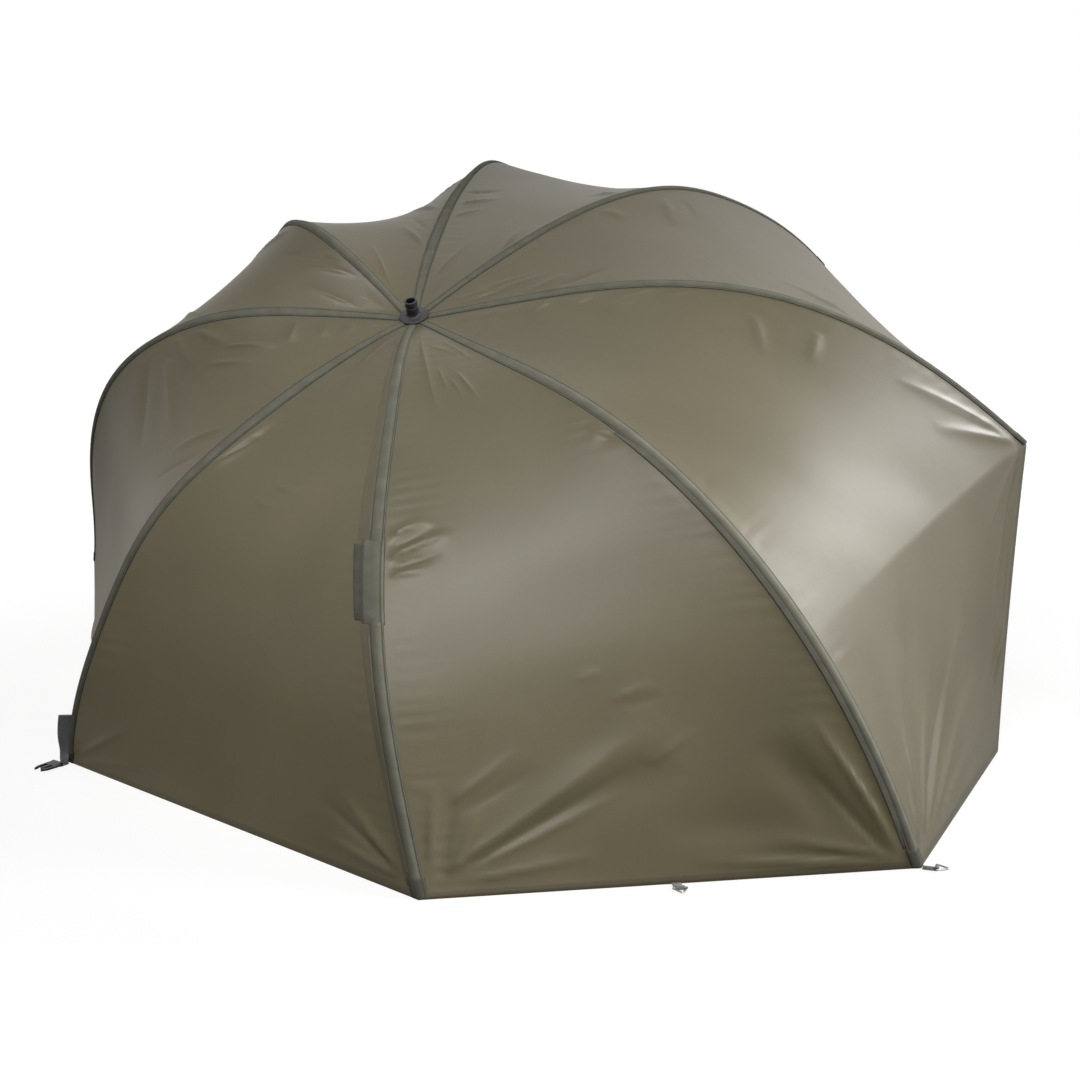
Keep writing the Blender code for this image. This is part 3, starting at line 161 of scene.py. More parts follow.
# Creases per panel, after the photo, and guessed where it hides the cloth: two ends as (along, across)
# shares, half width and depth in mm
CREASES = {
    1: (
        (0.08, 0.25, 0.2, 0.4, 8, 2), (0.2, 0.93, 0.3, 0.72, 9, 3), (0.26, 0.94, 0.36, 0.76, 8, -2),
        (0.38, 0.94, 0.47, 0.72, 10, 3), (0.36, 0.07, 0.45, 0.26, 10, 3), (0.6, 0.95, 0.56, 0.78, 10, 3),
    ),
    2: (
        (0.4, 0.06, 0.44, 0.28, 10, 3.5), (0.46, 0.05, 0.49, 0.24, 9, -3),
        (0.33, 0.05, 0.38, 0.24, 9, 2.5), (0.1, 0.22, 0.24, 0.38, 8, 2), (0.18, 0.92, 0.27, 0.72, 8, 2.5),
        (0.43, 0.94, 0.46, 0.74, 10, 3), (0.5, 0.94, 0.52, 0.78, 9, -2.5),
    ),
    3: (
        (0.49, 0.1, 0.47, 0.36, 12, 3), (0.53, 0.12, 0.52, 0.34, 10, -2), (0.05, 0.3, 0.2, 0.55, 9, 2),
        (0.06, 0.7, 0.22, 0.62, 9, 2), (0.16, 0.9, 0.24, 0.7, 8, 2), (0.21, 0.91, 0.3, 0.74, 8, -2),
        (0.36, 0.06, 0.4, 0.24, 9, 2), (0.66, 0.93, 0.58, 0.76, 12, 3),
    ),
    4: (
        (0.07, 0.06, 0.06, 0.5, 7, 2.5), (0.1, 0.06, 0.085, 0.42, 7, 3),
        (0.128, 0.06, 0.105, 0.38, 8, 3.5), (0.16, 0.06, 0.135, 0.34, 8, 3.5),
        (0.2, 0.06, 0.178, 0.26, 8, 3), (0.256, 0.05, 0.226, 0.32, 10, 3.5),
        (0.3, 0.05, 0.275, 0.2, 8, 2), (0.372, 0.15, 0.42, 0.34, 9, 2.5),
        (0.44, 0.12, 0.462, 0.27, 8, 2.5), (0.985, 0.965, 0.83, 0.8, 9, 4),
        (0.985, 0.97, 0.88, 0.88, 7, 3), (0.985, 0.93, 0.86, 0.52, 10, -4),
        (0.985, 0.93, 0.84, 0.62, 9, 4), (0.988, 0.92, 0.82, 0.36, 12, 5), (0.99, 0.9, 0.9, 0.36, 9, 4),
        (0.99, 0.88, 0.935, 0.2, 9, 5), (0.99, 0.85, 0.965, 0.12, 8, 4), (0.72, 0.02, 0.9, 0.06, 9, 3),
        (0.71, 0.03, 0.86, 0.14, 9, -3), (0.71, 0.04, 0.78, 0.22, 10, 3), (0.87, 0.07, 0.91, 0.14, 7, 4),
        (0.9, 0.05, 0.93, 0.12, 7, -4), (0.7, 0.03, 0.62, 0.2, 12, 3), (0.69, 0.03, 0.54, 0.14, 10, 2.5),
    ),
    5: (
        (0.968, 0.94, 0.8, 0.44, 18, 6), (0.962, 0.9, 0.84, 0.47, 16, -6),
        (0.955, 0.85, 0.875, 0.52, 12, 4), (0.88, 0.9, 0.812, 0.72, 11, 3.5),
        (0.892, 0.88, 0.84, 0.7, 9, -2), (0.764, 0.5, 0.748, 0.39, 8, 1.5),
        (0.776, 0.48, 0.762, 0.38, 8, -1.2), (0.85, 0.475, 0.808, 0.345, 9, 2.4),
        (0.735, 0.56, 0.725, 0.49, 7, 1), (0.982, 0.035, 0.8, 0.1, 10, 5),
        (0.978, 0.06, 0.86, 0.16, 10, -4), (0.985, 0.04, 0.95, 0.28, 8, 3.5),
        (0.99, 0.04, 0.975, 0.45, 8, 4), (0.982, 0.06, 0.967, 0.36, 8, -3),
        (0.973, 0.972, 0.85, 0.92, 8, 3.5), (0.972, 0.95, 0.86, 0.88, 8, -2.5),
        (0.972, 0.93, 0.89, 0.84, 8, 3), (0.98, 0.9, 0.955, 0.62, 9, 3), (0.065, 0.68, 0.29, 0.71, 6, 2),
        (0.186, 0.46, 0.265, 0.435, 6, 2.5), (0.2, 0.54, 0.25, 0.52, 6, 2),
        (0.17, 0.6, 0.24, 0.6, 5, 1.5), (0.1, 0.56, 0.13, 0.3, 6, 1.5), (0.08, 0.3, 0.16, 0.22, 7, 1.5),
        (0.494, 0.97, 0.47, 0.82, 9, 5), (0.512, 0.97, 0.487, 0.8, 8, -4),
        (0.531, 0.97, 0.498, 0.76, 10, 6), (0.546, 0.97, 0.53, 0.8, 8, -4),
        (0.56, 0.97, 0.552, 0.83, 8, 4), (0.392, 0.02, 0.376, 0.12, 7, 3),
        (0.404, 0.02, 0.396, 0.13, 7, -2.5),
    ),
    6: (
        (0.968, 0.03, 0.88, 0.16, 10, 5), (0.965, 0.05, 0.9, 0.22, 9, -4),
        (0.978, 0.04, 0.955, 0.22, 8, 4), (0.396, 0.98, 0.285, 0.86, 10, 3.5),
        (0.41, 0.96, 0.31, 0.82, 9, -3), (0.43, 0.96, 0.35, 0.83, 9, 2.5),
        (0.45, 0.62, 0.47, 0.48, 7, 1.5), (0.42, 0.56, 0.43, 0.4, 6, 1.5), (0.97, 0.96, 0.88, 0.8, 10, 3),
        (0.98, 0.95, 0.95, 0.74, 9, 3), (0.06, 0.5, 0.22, 0.62, 8, 1.5), (0.3, 0.95, 0.22, 0.88, 8, 2),
    ),
    7: (
        (0.07, 0.8, 0.09, 0.4, 6, 2), (0.095, 0.82, 0.125, 0.46, 7, 2.5), (0.13, 0.86, 0.17, 0.5, 8, 3),
        (0.275, 0.95, 0.3, 0.62, 11, 4), (0.25, 0.93, 0.235, 0.66, 9, 3), (0.242, 0.68, 0.18, 0.48, 8, 3),
        (0.278, 0.6, 0.225, 0.4, 8, 2.5), (0.31, 0.8, 0.4, 0.34, 14, 4), (0.33, 0.88, 0.45, 0.5, 12, -3),
        (0.34, 0.1, 0.42, 0.26, 10, 3), (0.4, 0.08, 0.47, 0.22, 9, -2), (0.97, 0.06, 0.84, 0.2, 10, 3),
        (0.97, 0.12, 0.86, 0.34, 10, -3), (0.98, 0.2, 0.9, 0.5, 10, 3), (0.9, 0.9, 0.8, 0.7, 12, 3),
    ),
    8: (
        (0.08, 0.2, 0.2, 0.4, 8, 2), (0.12, 0.85, 0.22, 0.6, 8, 2.5), (0.16, 0.88, 0.28, 0.64, 8, -2),
        (0.3, 0.92, 0.4, 0.7, 10, 3), (0.34, 0.07, 0.44, 0.28, 10, 3), (0.55, 0.95, 0.52, 0.76, 10, 3),
    ),
}
CREASE_DEPTH_SHARE = 2.1
CREASE_START_SHARE = 0.35
CREASE_SOFTNESS = 0.05
CREASE_RISE = 0.7

# Puckers along the seams and slow waves all over. The seeds give each panel its own stretch of the noise
PUCKER = 1.5 * MM
PUCKER_LENGTH = 31 * MM
PUCKER_REACH = 42 * MM
PUCKER_SWAY = 4
PUCKER_NOISE_SCALE = 0.7
PUCKER_SEED = 5.1
PUCKER_SIDE_SEED = 3.7
PUCKER_NOISE_PLACE = 0.5
PUCKER_LEAST = 0.5
SURFACE_WAVE = 1.6 * MM
SURFACE_WAVE_LENGTH = 150 * MM
SURFACE_WAVE_SEED = 7.3

# Camera, as in the photo
PHOTO_SIZE_PX = 1080
FOCAL_PX = 1620
SENSOR_MM = 36
VIEW_AZIMUTH_DEG = 199.11
VIEW_ELEVATION_DEG = 3.25
VIEW_DISTANCE = 3141 * MM
AIM_RIGHT_RAD = 0.0763
AIM_UP_RAD = -0.1374


def between_knots(a, b, c, d, u):
    """A Catmull-Rom curve from b to c, for u from 0 to 1."""
    return b + (c - a + (2 * a - 5 * b + 4 * c - d + (3 * (b - c) + d - a) * u) * u) * u / 2


def smooth_value(knots, share):
    """A Catmull-Rom curve through evenly spaced values."""
    last = len(knots) - 1
    ends = (2 * knots[0] - knots[1], *knots, 2 * knots[-1] - knots[-2])
    share = min(max(share, 0), 1)
    index = min(int(share * last), last - 1)
    return between_knots(*ends[index:index + 4], share * last - index)


def wrapped(number):
    return (number - 1) % RIB_COUNT + 1


def rib_directions(number):
    """The rib's heading from the crown, and the sideways direction towards the next rib."""
    heading = math.radians((number - REAR_RIB) * 360 / RIB_COUNT + CROWN_SPIN_DEG)
    out = Vector((math.sin(heading), math.cos(heading), 0))
    side = Vector((math.cos(heading), -math.sin(heading), 0))
    return out, side


def plane_point(out, radius, depth):
    return out * radius - UP * depth


def joint_place(name):
    return Vector(next(joint for joint in frame["joints"] if joint["name"] == name)["pos_m"])


def axes_frame(place, x, y, z):
    return Matrix.Translation(place) @ Matrix((x, y, z)).transposed().to_4x4()


def crown_frame():
    """The crown's frame in the world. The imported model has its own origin, so a joint gives the place."""
    turn = Matrix.Rotation(-math.radians(POLE_TILT_DEG), 4, "X")
    pivot = turn @ plane_point(rib_directions(1)[0], PIVOT_RADIUS, PIVOT_DEPTH)
    return Matrix.Translation(joint_place("rib_1_fold") - pivot) @ turn


CROWN = crown_frame()
CROWN_PLACE = CROWN.translation
FOOT_PLACE = Vector((CROWN_PLACE.x, CROWN_PLACE.y, 0))
# Each wing's corner on the ground by the rib that it hangs from, and the panels that run on into a wing
WING_CORNERS = {
    4: FOOT_PLACE + Vector((-WING_RIGHT_SHARES[0], -WING_RIGHT_SHARES[1], 0)) * RIB_LENGTH,
    8: FOOT_PLACE + Vector((WING_LEFT_SHARES[0], -WING_LEFT_SHARES[1], 0)) * RIB_LENGTH,
}
WING_PANELS = {4: 4, 7: 8}


def seam_path(number):
    """The seam over one rib in the world, from the hole at the crown to the hem."""
    out, side = rib_directions(number)
    step = RIB_LENGTH * RIB_LENGTH_SHARES[number] / PATH_STEPS
    radius, drop, drift = SEAM_START_RADIUS, 0, 0
    points = [CROWN @ (out * CLOTH_HOLE_RADIUS), CROWN @ (out * SEAM_START_RADIUS)]
    count = 2 * PATH_STEPS if number in GROUND_RIBS else PATH_STEPS
    for k in range(count):
        share = (k + 0.5) / PATH_STEPS
        slope = math.radians(smooth_value(RIB_SLOPES_DEG[number], share))
        beyond = max(0, min(share, 1) - STRETCHER_SHARE) / (1 - STRETCHER_SHARE)
        heading = math.radians(RIB_DRIFT_DEG[number]) * beyond
        radius += math.cos(slope) * math.cos(heading) * step
        drop += math.sin(slope) * math.cos(heading) * step
        drift += math.sin(heading) * step
        point = CROWN @ (out * radius + side * drift - UP * drop)
        if number in GROUND_RIBS and point.z < 0:
            above = points[-1]
            points.append(above.lerp(point, above.z / (above.z - point.z)))
            break
        points.append(point)
    return np.array(points)


def unit(vectors):
    return vectors / np.linalg.norm(vectors, axis=-1, keepdims=True)


def path_stations(path):
    lengths = np.concatenate(([0], np.cumsum(np.linalg.norm(np.diff(path, axis=0), axis=1))))
    return lengths / lengths[-1]


SEAMS = {number: seam_path(number) for number in range(1, RIB_COUNT + 1)}
STATIONS = {number: path_stations(path) for number, path in SEAMS.items()}
SEAM_LENGTHS = {n: np.linalg.norm(np.diff(path, axis=0), axis=1).sum() for n, path in SEAMS.items()}
FIRST_ROW_SHARE = (SEAM_START_RADIUS - CLOTH_HOLE_RADIUS) / RIB_LENGTH
BEYOND_CAP_SHARE = 1 - FIRST_ROW_SHARE
WING_RIB_SHARE = FIRST_ROW_SHARE + BEYOND_CAP_SHARE * (WING_RIB_ROW - 1) / (CAD_ROWS - 1)
WING_STRETCH = BEYOND_CAP_SHARE / (WING_RIB_SHARE - FIRST_ROW_SHARE)
# The strips sewn over each rib's seam, filled as they are built
SEWN = {number: [] for number in range(1, RIB_COUNT + 1)}


def seam_points(number, shares):
    path = SEAMS[number]
    return np.stack([np.interp(shares, STATIONS[number], path[:, axis]) for axis in range(3)], axis=-1)


def seam_tangents(number, shares):
    low, high = np.maximum(shares - SHARE_STEP, 0), np.minimum(shares + SHARE_STEP, 1)
    return unit(seam_points(number, high) - seam_points(number, low))


def seam_normals(number, shares):
    """Square to the seam and to the line between the two neighbouring seams, out of the dome."""
    shares = np.maximum(shares, SHARE_STEP)
    across = seam_points(wrapped(number + 1), shares) - seam_points(wrapped(number - 1), shares)
    return unit(np.cross(across, seam_tangents(number, shares)))


def wing_points(number, shares):
    """The free front edge of a side wing, from the rib's tip down to its ground corner, bowed inwards."""
    tip = seam_points(number, np.array(1.0))
    foot = np.array(WING_CORNERS[number])
    inwards = unit(np.array(FOOT_PLACE) - (tip + foot) / 2)
    shares = shares[..., None]
    return tip + (foot - tip) * shares + inwards * WING_BOW * 4 * shares * (1 - shares)


def rib_shares(panel, number, shares):
    """Where on a rib a share of the panel's edge lies: over 1 is beyond the tip, on a wing's free edge."""
    if WING_PANELS.get(panel) != number:
        return shares
    stretched = FIRST_ROW_SHARE + (shares - FIRST_ROW_SHARE) * WING_STRETCH
    return np.where(shares <= FIRST_ROW_SHARE, shares, stretched)


def panel_shares(panel, number, places):
    """The share of the panel's edge that lies at a place on its rib."""
    if WING_PANELS.get(panel) != number:
        return places
    shrunk = FIRST_ROW_SHARE + (places - FIRST_ROW_SHARE) / WING_STRETCH
    return np.where(places <= FIRST_ROW_SHARE, places, shrunk)


def edge_points(panel, number, shares):
    places = rib_shares(panel, number, shares)
    on_rib = seam_points(number, np.minimum(places, 1))
    if WING_PANELS.get(panel) != number:
        return on_rib
    free = wing_points(number, np.clip((shares - WING_RIB_SHARE) / (1 - WING_RIB_SHARE), 0, 1))
    return np.where((places <= 1)[..., None], on_rib, free)


def on_ground(panel):
    return panel in GROUND_RIBS or panel in WING_PANELS


def flat_points(panel, shares, across):
    """The ruled surface between the panel's two edges, with its two edge points."""
    if not on_ground(panel):
        shares = shares * (1 - HEM_RISE_SHARE * 4 * across * (1 - across))
    a = edge_points(panel, panel, shares)
    b = edge_points(panel, wrapped(panel + 1), shares)
    return a, b, a + (b - a) * across[..., None]


def panel_normals(panel, shares, across):
    low, high = np.maximum(shares - SHARE_STEP, 0), np.minimum(shares + SHARE_STEP, 1)
    along = flat_points(panel, high, across)[2] - flat_points(panel, low, across)[2]
    a, b, _ = flat_points(panel, shares, across)
    return unit(np.cross(b - a, along))


def main_fold_heights(panel, shares, across, width):
    """The CAD's own folds, with its own formula."""
    total = np.zeros_like(shares)
    length = SEAM_LENGTHS[panel]
    here = np.stack((shares * length, across * width), axis=-1)
    for index, (share_a, across_a, share_b, across_b) in enumerate(PANEL_FOLD_SHARES.get(panel, ())):
        start = np.stack((np.full_like(width, share_a * length), across_a * width), axis=-1)
        run = np.stack((np.full_like(width, share_b * length), across_b * width), axis=-1) - start
        place = np.clip(((here - start) * run).sum(-1) / (run * run).sum(-1), 0, 1)
        gap = np.linalg.norm(here - start - run * place[..., None], axis=-1) / FOLD_HALF_WIDTH
        sign = 1 if index % 2 else -1
        total += sign * FOLD_DEPTH * np.exp(-gap * gap) * np.sin(math.pi * place)
    fade = np.minimum(1, FOLD_SEAM_FADE * across * (1 - across))
    return total * fade * np.minimum(1, FOLD_HEM_FADE * (1 - shares))


def plain_points(panel, shares, across):
    """The CAD's outer face: drawn in between the ribs by its tension, with the main folds."""
    a, b, points = flat_points(panel, shares, across)
    width = np.linalg.norm(b - a, axis=-1)
    sag = SAG_SHARE * width * 4 * across * (1 - across)
    if on_ground(panel):
        sag = sag * (1 - shares ** 4)
    height = main_fold_heights(panel, shares, across, width) - sag
    return points + panel_normals(panel, shares, across) * height[..., None]


def mesh_object(name, points, faces, smooth=True, sharp_deg=None):
    mesh = bpy.data.meshes.new(name)
    mesh.from_pydata([tuple(point) for point in points], [], faces)
    work = bmesh.new()
    work.from_mesh(mesh)
    bmesh.ops.recalc_face_normals(work, faces=work.faces)
    work.to_mesh(mesh)
    work.free()
    if smooth:
        mesh.shade_smooth()
    if sharp_deg is not None:
        mesh.set_sharp_from_angle(angle=math.radians(sharp_deg))
    made = bpy.data.objects.new(name, mesh)
    bpy.context.collection.objects.link(made)
    return made


def float_attribute(made, name, values):
    layer = made.data.attributes.new(name, "FLOAT", "POINT")
    layer.data.foreach_set("value", np.asarray(values, np.float32).ravel())


def stand(points):
    """Lifts points that reach below the ground."""
    points = points.copy()
    points[..., 2] = np.maximum(points[..., 2], 0)
    return points


def grid_faces(rows, columns, offset=0, flip=False):
    """Quads of a grid with rows + 1 by columns + 1 points."""
    faces = []
    stride = columns + 1
    for row in range(rows):
        for column in range(columns):
            k = offset + row * stride + column
            quad = (k, k + 1, k + stride + 1, k + stride)
            faces.append(quad[::-1] if flip else quad)
    return faces


def shell_object(name, outer, inner):
    """A closed sheet from two grids of points, rows by columns."""
    rows, columns = outer.shape[0] - 1, outer.shape[1] - 1
    stride = columns + 1
    offset = (rows + 1) * stride
    faces = grid_faces(rows, columns) + grid_faces(rows, columns, offset, flip=True)
    border = list(range(stride))
    border += [row * stride + columns for row in range(1, rows + 1)]
    border += [rows * stride + column for column in range(columns - 1, -1, -1)]
    border += [row * stride for row in range(rows - 1, 0, -1)]
    for a, b in zip(border, border[1:] + border[:1]):
        faces.append((a, offset + a, offset + b, b))
    points = np.concatenate((outer.reshape(-1, 3), inner.reshape(-1, 3)))
    return mesh_object(name, points, faces)


def pattern_places(panel, shares, across):
    """A place on the gore's flat pattern in metres: along its middle, and sideways from it."""
    a, b, _ = flat_points(panel, shares, across)
    width = np.linalg.norm(b - a, axis=-1)
    return np.stack((shares * SEAM_LENGTHS[panel], (across - 0.5) * width), axis=-1)


def crease_height(places, start, end, half_width, depth):
    """A crease between two places on the pattern, narrow at its start and fading at both ends."""
    run = end - start
    place = np.clip(((places - start) * run).sum(-1) / (run * run).sum(-1), 0, 1)
    gap = np.linalg.norm(places - start - run * place[..., None], axis=-1)
    spread = half_width * (CREASE_START_SHARE + (1 - CREASE_START_SHARE) * place)
    section = np.exp(-np.sqrt((gap / spread) ** 2 + CREASE_SOFTNESS))
    return depth * CREASE_DEPTH_SHARE * section * np.sin(math.pi * place ** CREASE_RISE)


def crease_heights(panel, shares, across):
    total = np.zeros_like(shares)
    places = pattern_places(panel, shares, across)
    for along_a, across_a, along_b, across_b, half_width, depth in CREASES.get(panel, ()):
        ends = pattern_places(panel, np.array((along_a, along_b)), np.array((across_a, across_b)))
        total += crease_height(places, ends[0], ends[1], half_width * MM, depth * MM)
    return total


def seam_gap(panel, shares, across):
    """How far each place is from the nearer of the panel's two edges."""
    a, b, _ = flat_points(panel, shares, across)
    return np.minimum(across, 1 - across) * np.linalg.norm(b - a, axis=-1)


def smooth_step(values):
    values = np.clip(values, 0, 1)
    return values * values * (3 - 2 * values)


def wave_heights(panel, shares, across):
    """Slow waves all over, and puckers where the seam's stitches draw the cloth in."""
    places = pattern_places(panel, shares, across)
    flat = places.reshape(-1, 2)
    scale, seed = 1 / SURFACE_WAVE_LENGTH, panel * SURFACE_WAVE_SEED
    waves = [noise.noise(Vector((x * scale, y * scale, seed))) for x, y in flat]
    waves = np.array(waves).reshape(shares.shape)
    scale, seed = PUCKER_NOISE_SCALE / PUCKER_LENGTH, panel * PUCKER_SEED
    lumps = [noise.noise(Vector((x * scale, seed + (y > 0) * PUCKER_SIDE_SEED, PUCKER_NOISE_PLACE)))
             for x, y in flat]
    lumps = np.array(lumps).reshape(shares.shape)
    phase = math.tau * places[..., 0] / PUCKER_LENGTH + PUCKER_SWAY * lumps
    pucker = np.sin(phase) * np.exp(-seam_gap(panel, shares, across) / PUCKER_REACH)
    return SURFACE_WAVE * waves + PUCKER * pucker * (PUCKER_LEAST + lumps)


def hem_gap(panel, shares, across):
    """How far each place is from the hem and from a wing's free edge."""
    a, b, _ = flat_points(panel, shares, across)
    gap = (1 - shares) * SEAM_LENGTHS[panel]
    number = WING_PANELS.get(panel)
    if number is None:
        return gap
    width = np.linalg.norm(b - a, axis=-1)
    sideways = (across if number == panel else 1 - across) * width
    free = shares >= WING_RIB_SHARE
    return np.where(free, np.minimum(gap, sideways), gap)


def panel_relief(panel, shares, across):
    """How far the cloth stands off its plain shape: creases, waves and the doubled hem."""
    fade = smooth_step((seam_gap(panel, shares, across) - TAPE_WIDTH / 2) / EDGE_FADE)
    fade = fade * smooth_step((shares - FIRST_ROW_SHARE) / CAP_FADE_SHARE)
    if on_ground(panel):
        fade = fade * smooth_step((1 - shares) * SEAM_LENGTHS[panel] / (2 * HEM_WIDTH))
    relief = (crease_heights(panel, shares, across) + wave_heights(panel, shares, across)) * fade
    gap = hem_gap(panel, shares, across)
    return relief + HEM_RAISE * (1 - np.clip((gap - HEM_WIDTH) / HEM_STEP, 0, 1))


def both_skins(values):
    """The outer skin's values again for the inner one."""
    values = values.reshape(-1, 2) if values.ndim == 3 else values.ravel()
    return np.concatenate((values, values))


def build_panel(panel):
    creased = panel in CREASED_PANELS
    rows = np.concatenate(([0], np.linspace(FIRST_ROW_SHARE, 1, ROWS if creased else PLAIN_ROWS)))
    columns = np.linspace(0, 1, (COLUMNS if creased else PLAIN_COLUMNS) + 1)
    shares, across = np.meshgrid(rows, columns, indexing="ij")
    points = plain_points(panel, shares, across)
    normals = panel_normals(panel, shares, across)
    relief = panel_relief(panel, shares, across)[..., None]
    outer = stand(points + normals * relief)
    inner = stand(points + normals * (relief - SHEET))
    made = shell_object(f"cloth_{panel}", outer, inner)
    float_attribute(made, "hem_gap", both_skins(hem_gap(panel, shares, across)))
    add_uv(made, both_skins(pattern_places(panel, shares, across)))
    made.data.materials.append(MATERIALS["cloth"])
    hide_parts(f"canopy_panel_{panel}")
    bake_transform(made)
    # Weights from seam to seam, because a panel widens from the crown. They are worked out but not stored
    weights = smooth_step(across / REAR_PEG_FOLLOW_SHARE if panel == REAR_PEG_PANEL else across)
    weights = both_skins(weights).astype(np.float32)


def beside_seam(number, places, offsets):
    """Points and normals on the cloth beside a seam. Offsets over zero lie on the panel after the rib."""
    points, normals = np.zeros(places.shape + (3,)), np.zeros(places.shape + (3,))
    for panel, mask in ((wrapped(number - 1), offsets < 0), (number, offsets >= 0)):
        shares = panel_shares(panel, number, places)
        a, b, _ = flat_points(panel, shares, np.zeros_like(shares))
        across = np.abs(offsets) / np.linalg.norm(b - a, axis=-1)
        if panel != number:
            across = 1 - across
        points[mask] = plain_points(panel, shares, across)[mask]
        normals[mask] = panel_normals(panel, shares, across)[mask]
    ridge = np.exp(-(offsets / RIDGE_REACH) ** 2)[..., None]
    return points, unit(normals * (1 - ridge) + seam_normals(number, places) * ridge)


def strip_object(name, number, places, offsets, heights, thickness, look, side):
    """A strip of cloth on the seam over a rib: grids of places along it, offsets across it and heights."""
    points, normals = beside_seam(number, places, offsets)
    outer = stand(points + normals * heights[..., None])
    inner = stand(points + normals * (heights - thickness)[..., None])
    made = shell_object(name, outer, inner)
    add_uv(made, both_skins(np.stack((offsets, places * SEAM_LENGTHS[number]), axis=-1)))
    float_attribute(made, "side", both_skins(side))
    made.data.materials.append(MATERIALS[look])
    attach(made, f"rib_{number}")
    SEWN[number].append(made)
    return made


def build_tape(number):
    start = (FLANGE_RADIUS - CLOTH_HOLE_RADIUS) / RIB_LENGTH
    rows = np.linspace(start, 1, TAPE_ROWS)
    profile = np.array(TAPE_PROFILE_SHARES)
    places, across = np.meshgrid(rows, profile[:, 0], indexing="ij")
    width_share = TAPE_CROWN_SHARE + (1 - TAPE_CROWN_SHARE) * smooth_step(places / TAPE_FULL_SHARE)
    offsets = across * TAPE_WIDTH / 2 * width_share
    heights = np.broadcast_to(profile[:, 1], places.shape) * TAPE_RAISE
    made = strip_object(f"tape_{number}", number, places, offsets, heights, TAPE_RAISE, "tape", across)
    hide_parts(f"seam_tape_{number}")


def build_patch(name, number, along, sides_start, sides_end, raise_by, look, steps):
    """A flat patch beside or over a seam: its ends along the seam, and its two sides at each end in mm."""
    rows = np.linspace(along[0], along[1], steps)
    profile = np.array(PATCH_PROFILE_SHARES)
    places, spread = np.meshgrid(rows, profile[:, 0], indexing="ij")
    part = (places - along[0]) / (along[1] - along[0])
    low = (sides_start[0] + (sides_end[0] - sides_start[0]) * part) * MM
    high = (sides_start[1] + (sides_end[1] - sides_start[1]) * part) * MM
    ends = np.minimum(1, PATCH_END_SHARE + PATCH_END_SLOPE * np.minimum(part, 1 - part))
    heights = np.broadcast_to(profile[:, 1], places.shape) * ends * raise_by
    offsets = low + (high - low) * spread
    skin = raise_by * PATCH_SKIN_SHARE
    strip_object(name, number, places, offsets, heights, skin, look, 2 * spread - 1)


def build_seam_details():
    for name, patch in SEAM_PATCHES.items():
        build_patch(name, *patch)
    for number in range(1, RIB_COUNT + 1):
        along = (1 - TIP_PATCH_LENGTH / SEAM_LENGTHS[number], 1)
        build_patch(f"tip_patch_{number}", number, along, *TIP_PATCH_SIDES, TIP_PATCH, "tape_dark",
                    TIP_PATCH_ROWS)


def add_uv(made, places):
    layer = made.data.uv_layers.new(name="pattern")
    loops = np.zeros(len(made.data.loops), np.int32)
    made.data.loops.foreach_get("vertex_index", loops)
    layer.data.foreach_set("uv", places[loops].astype(np.float32).ravel())


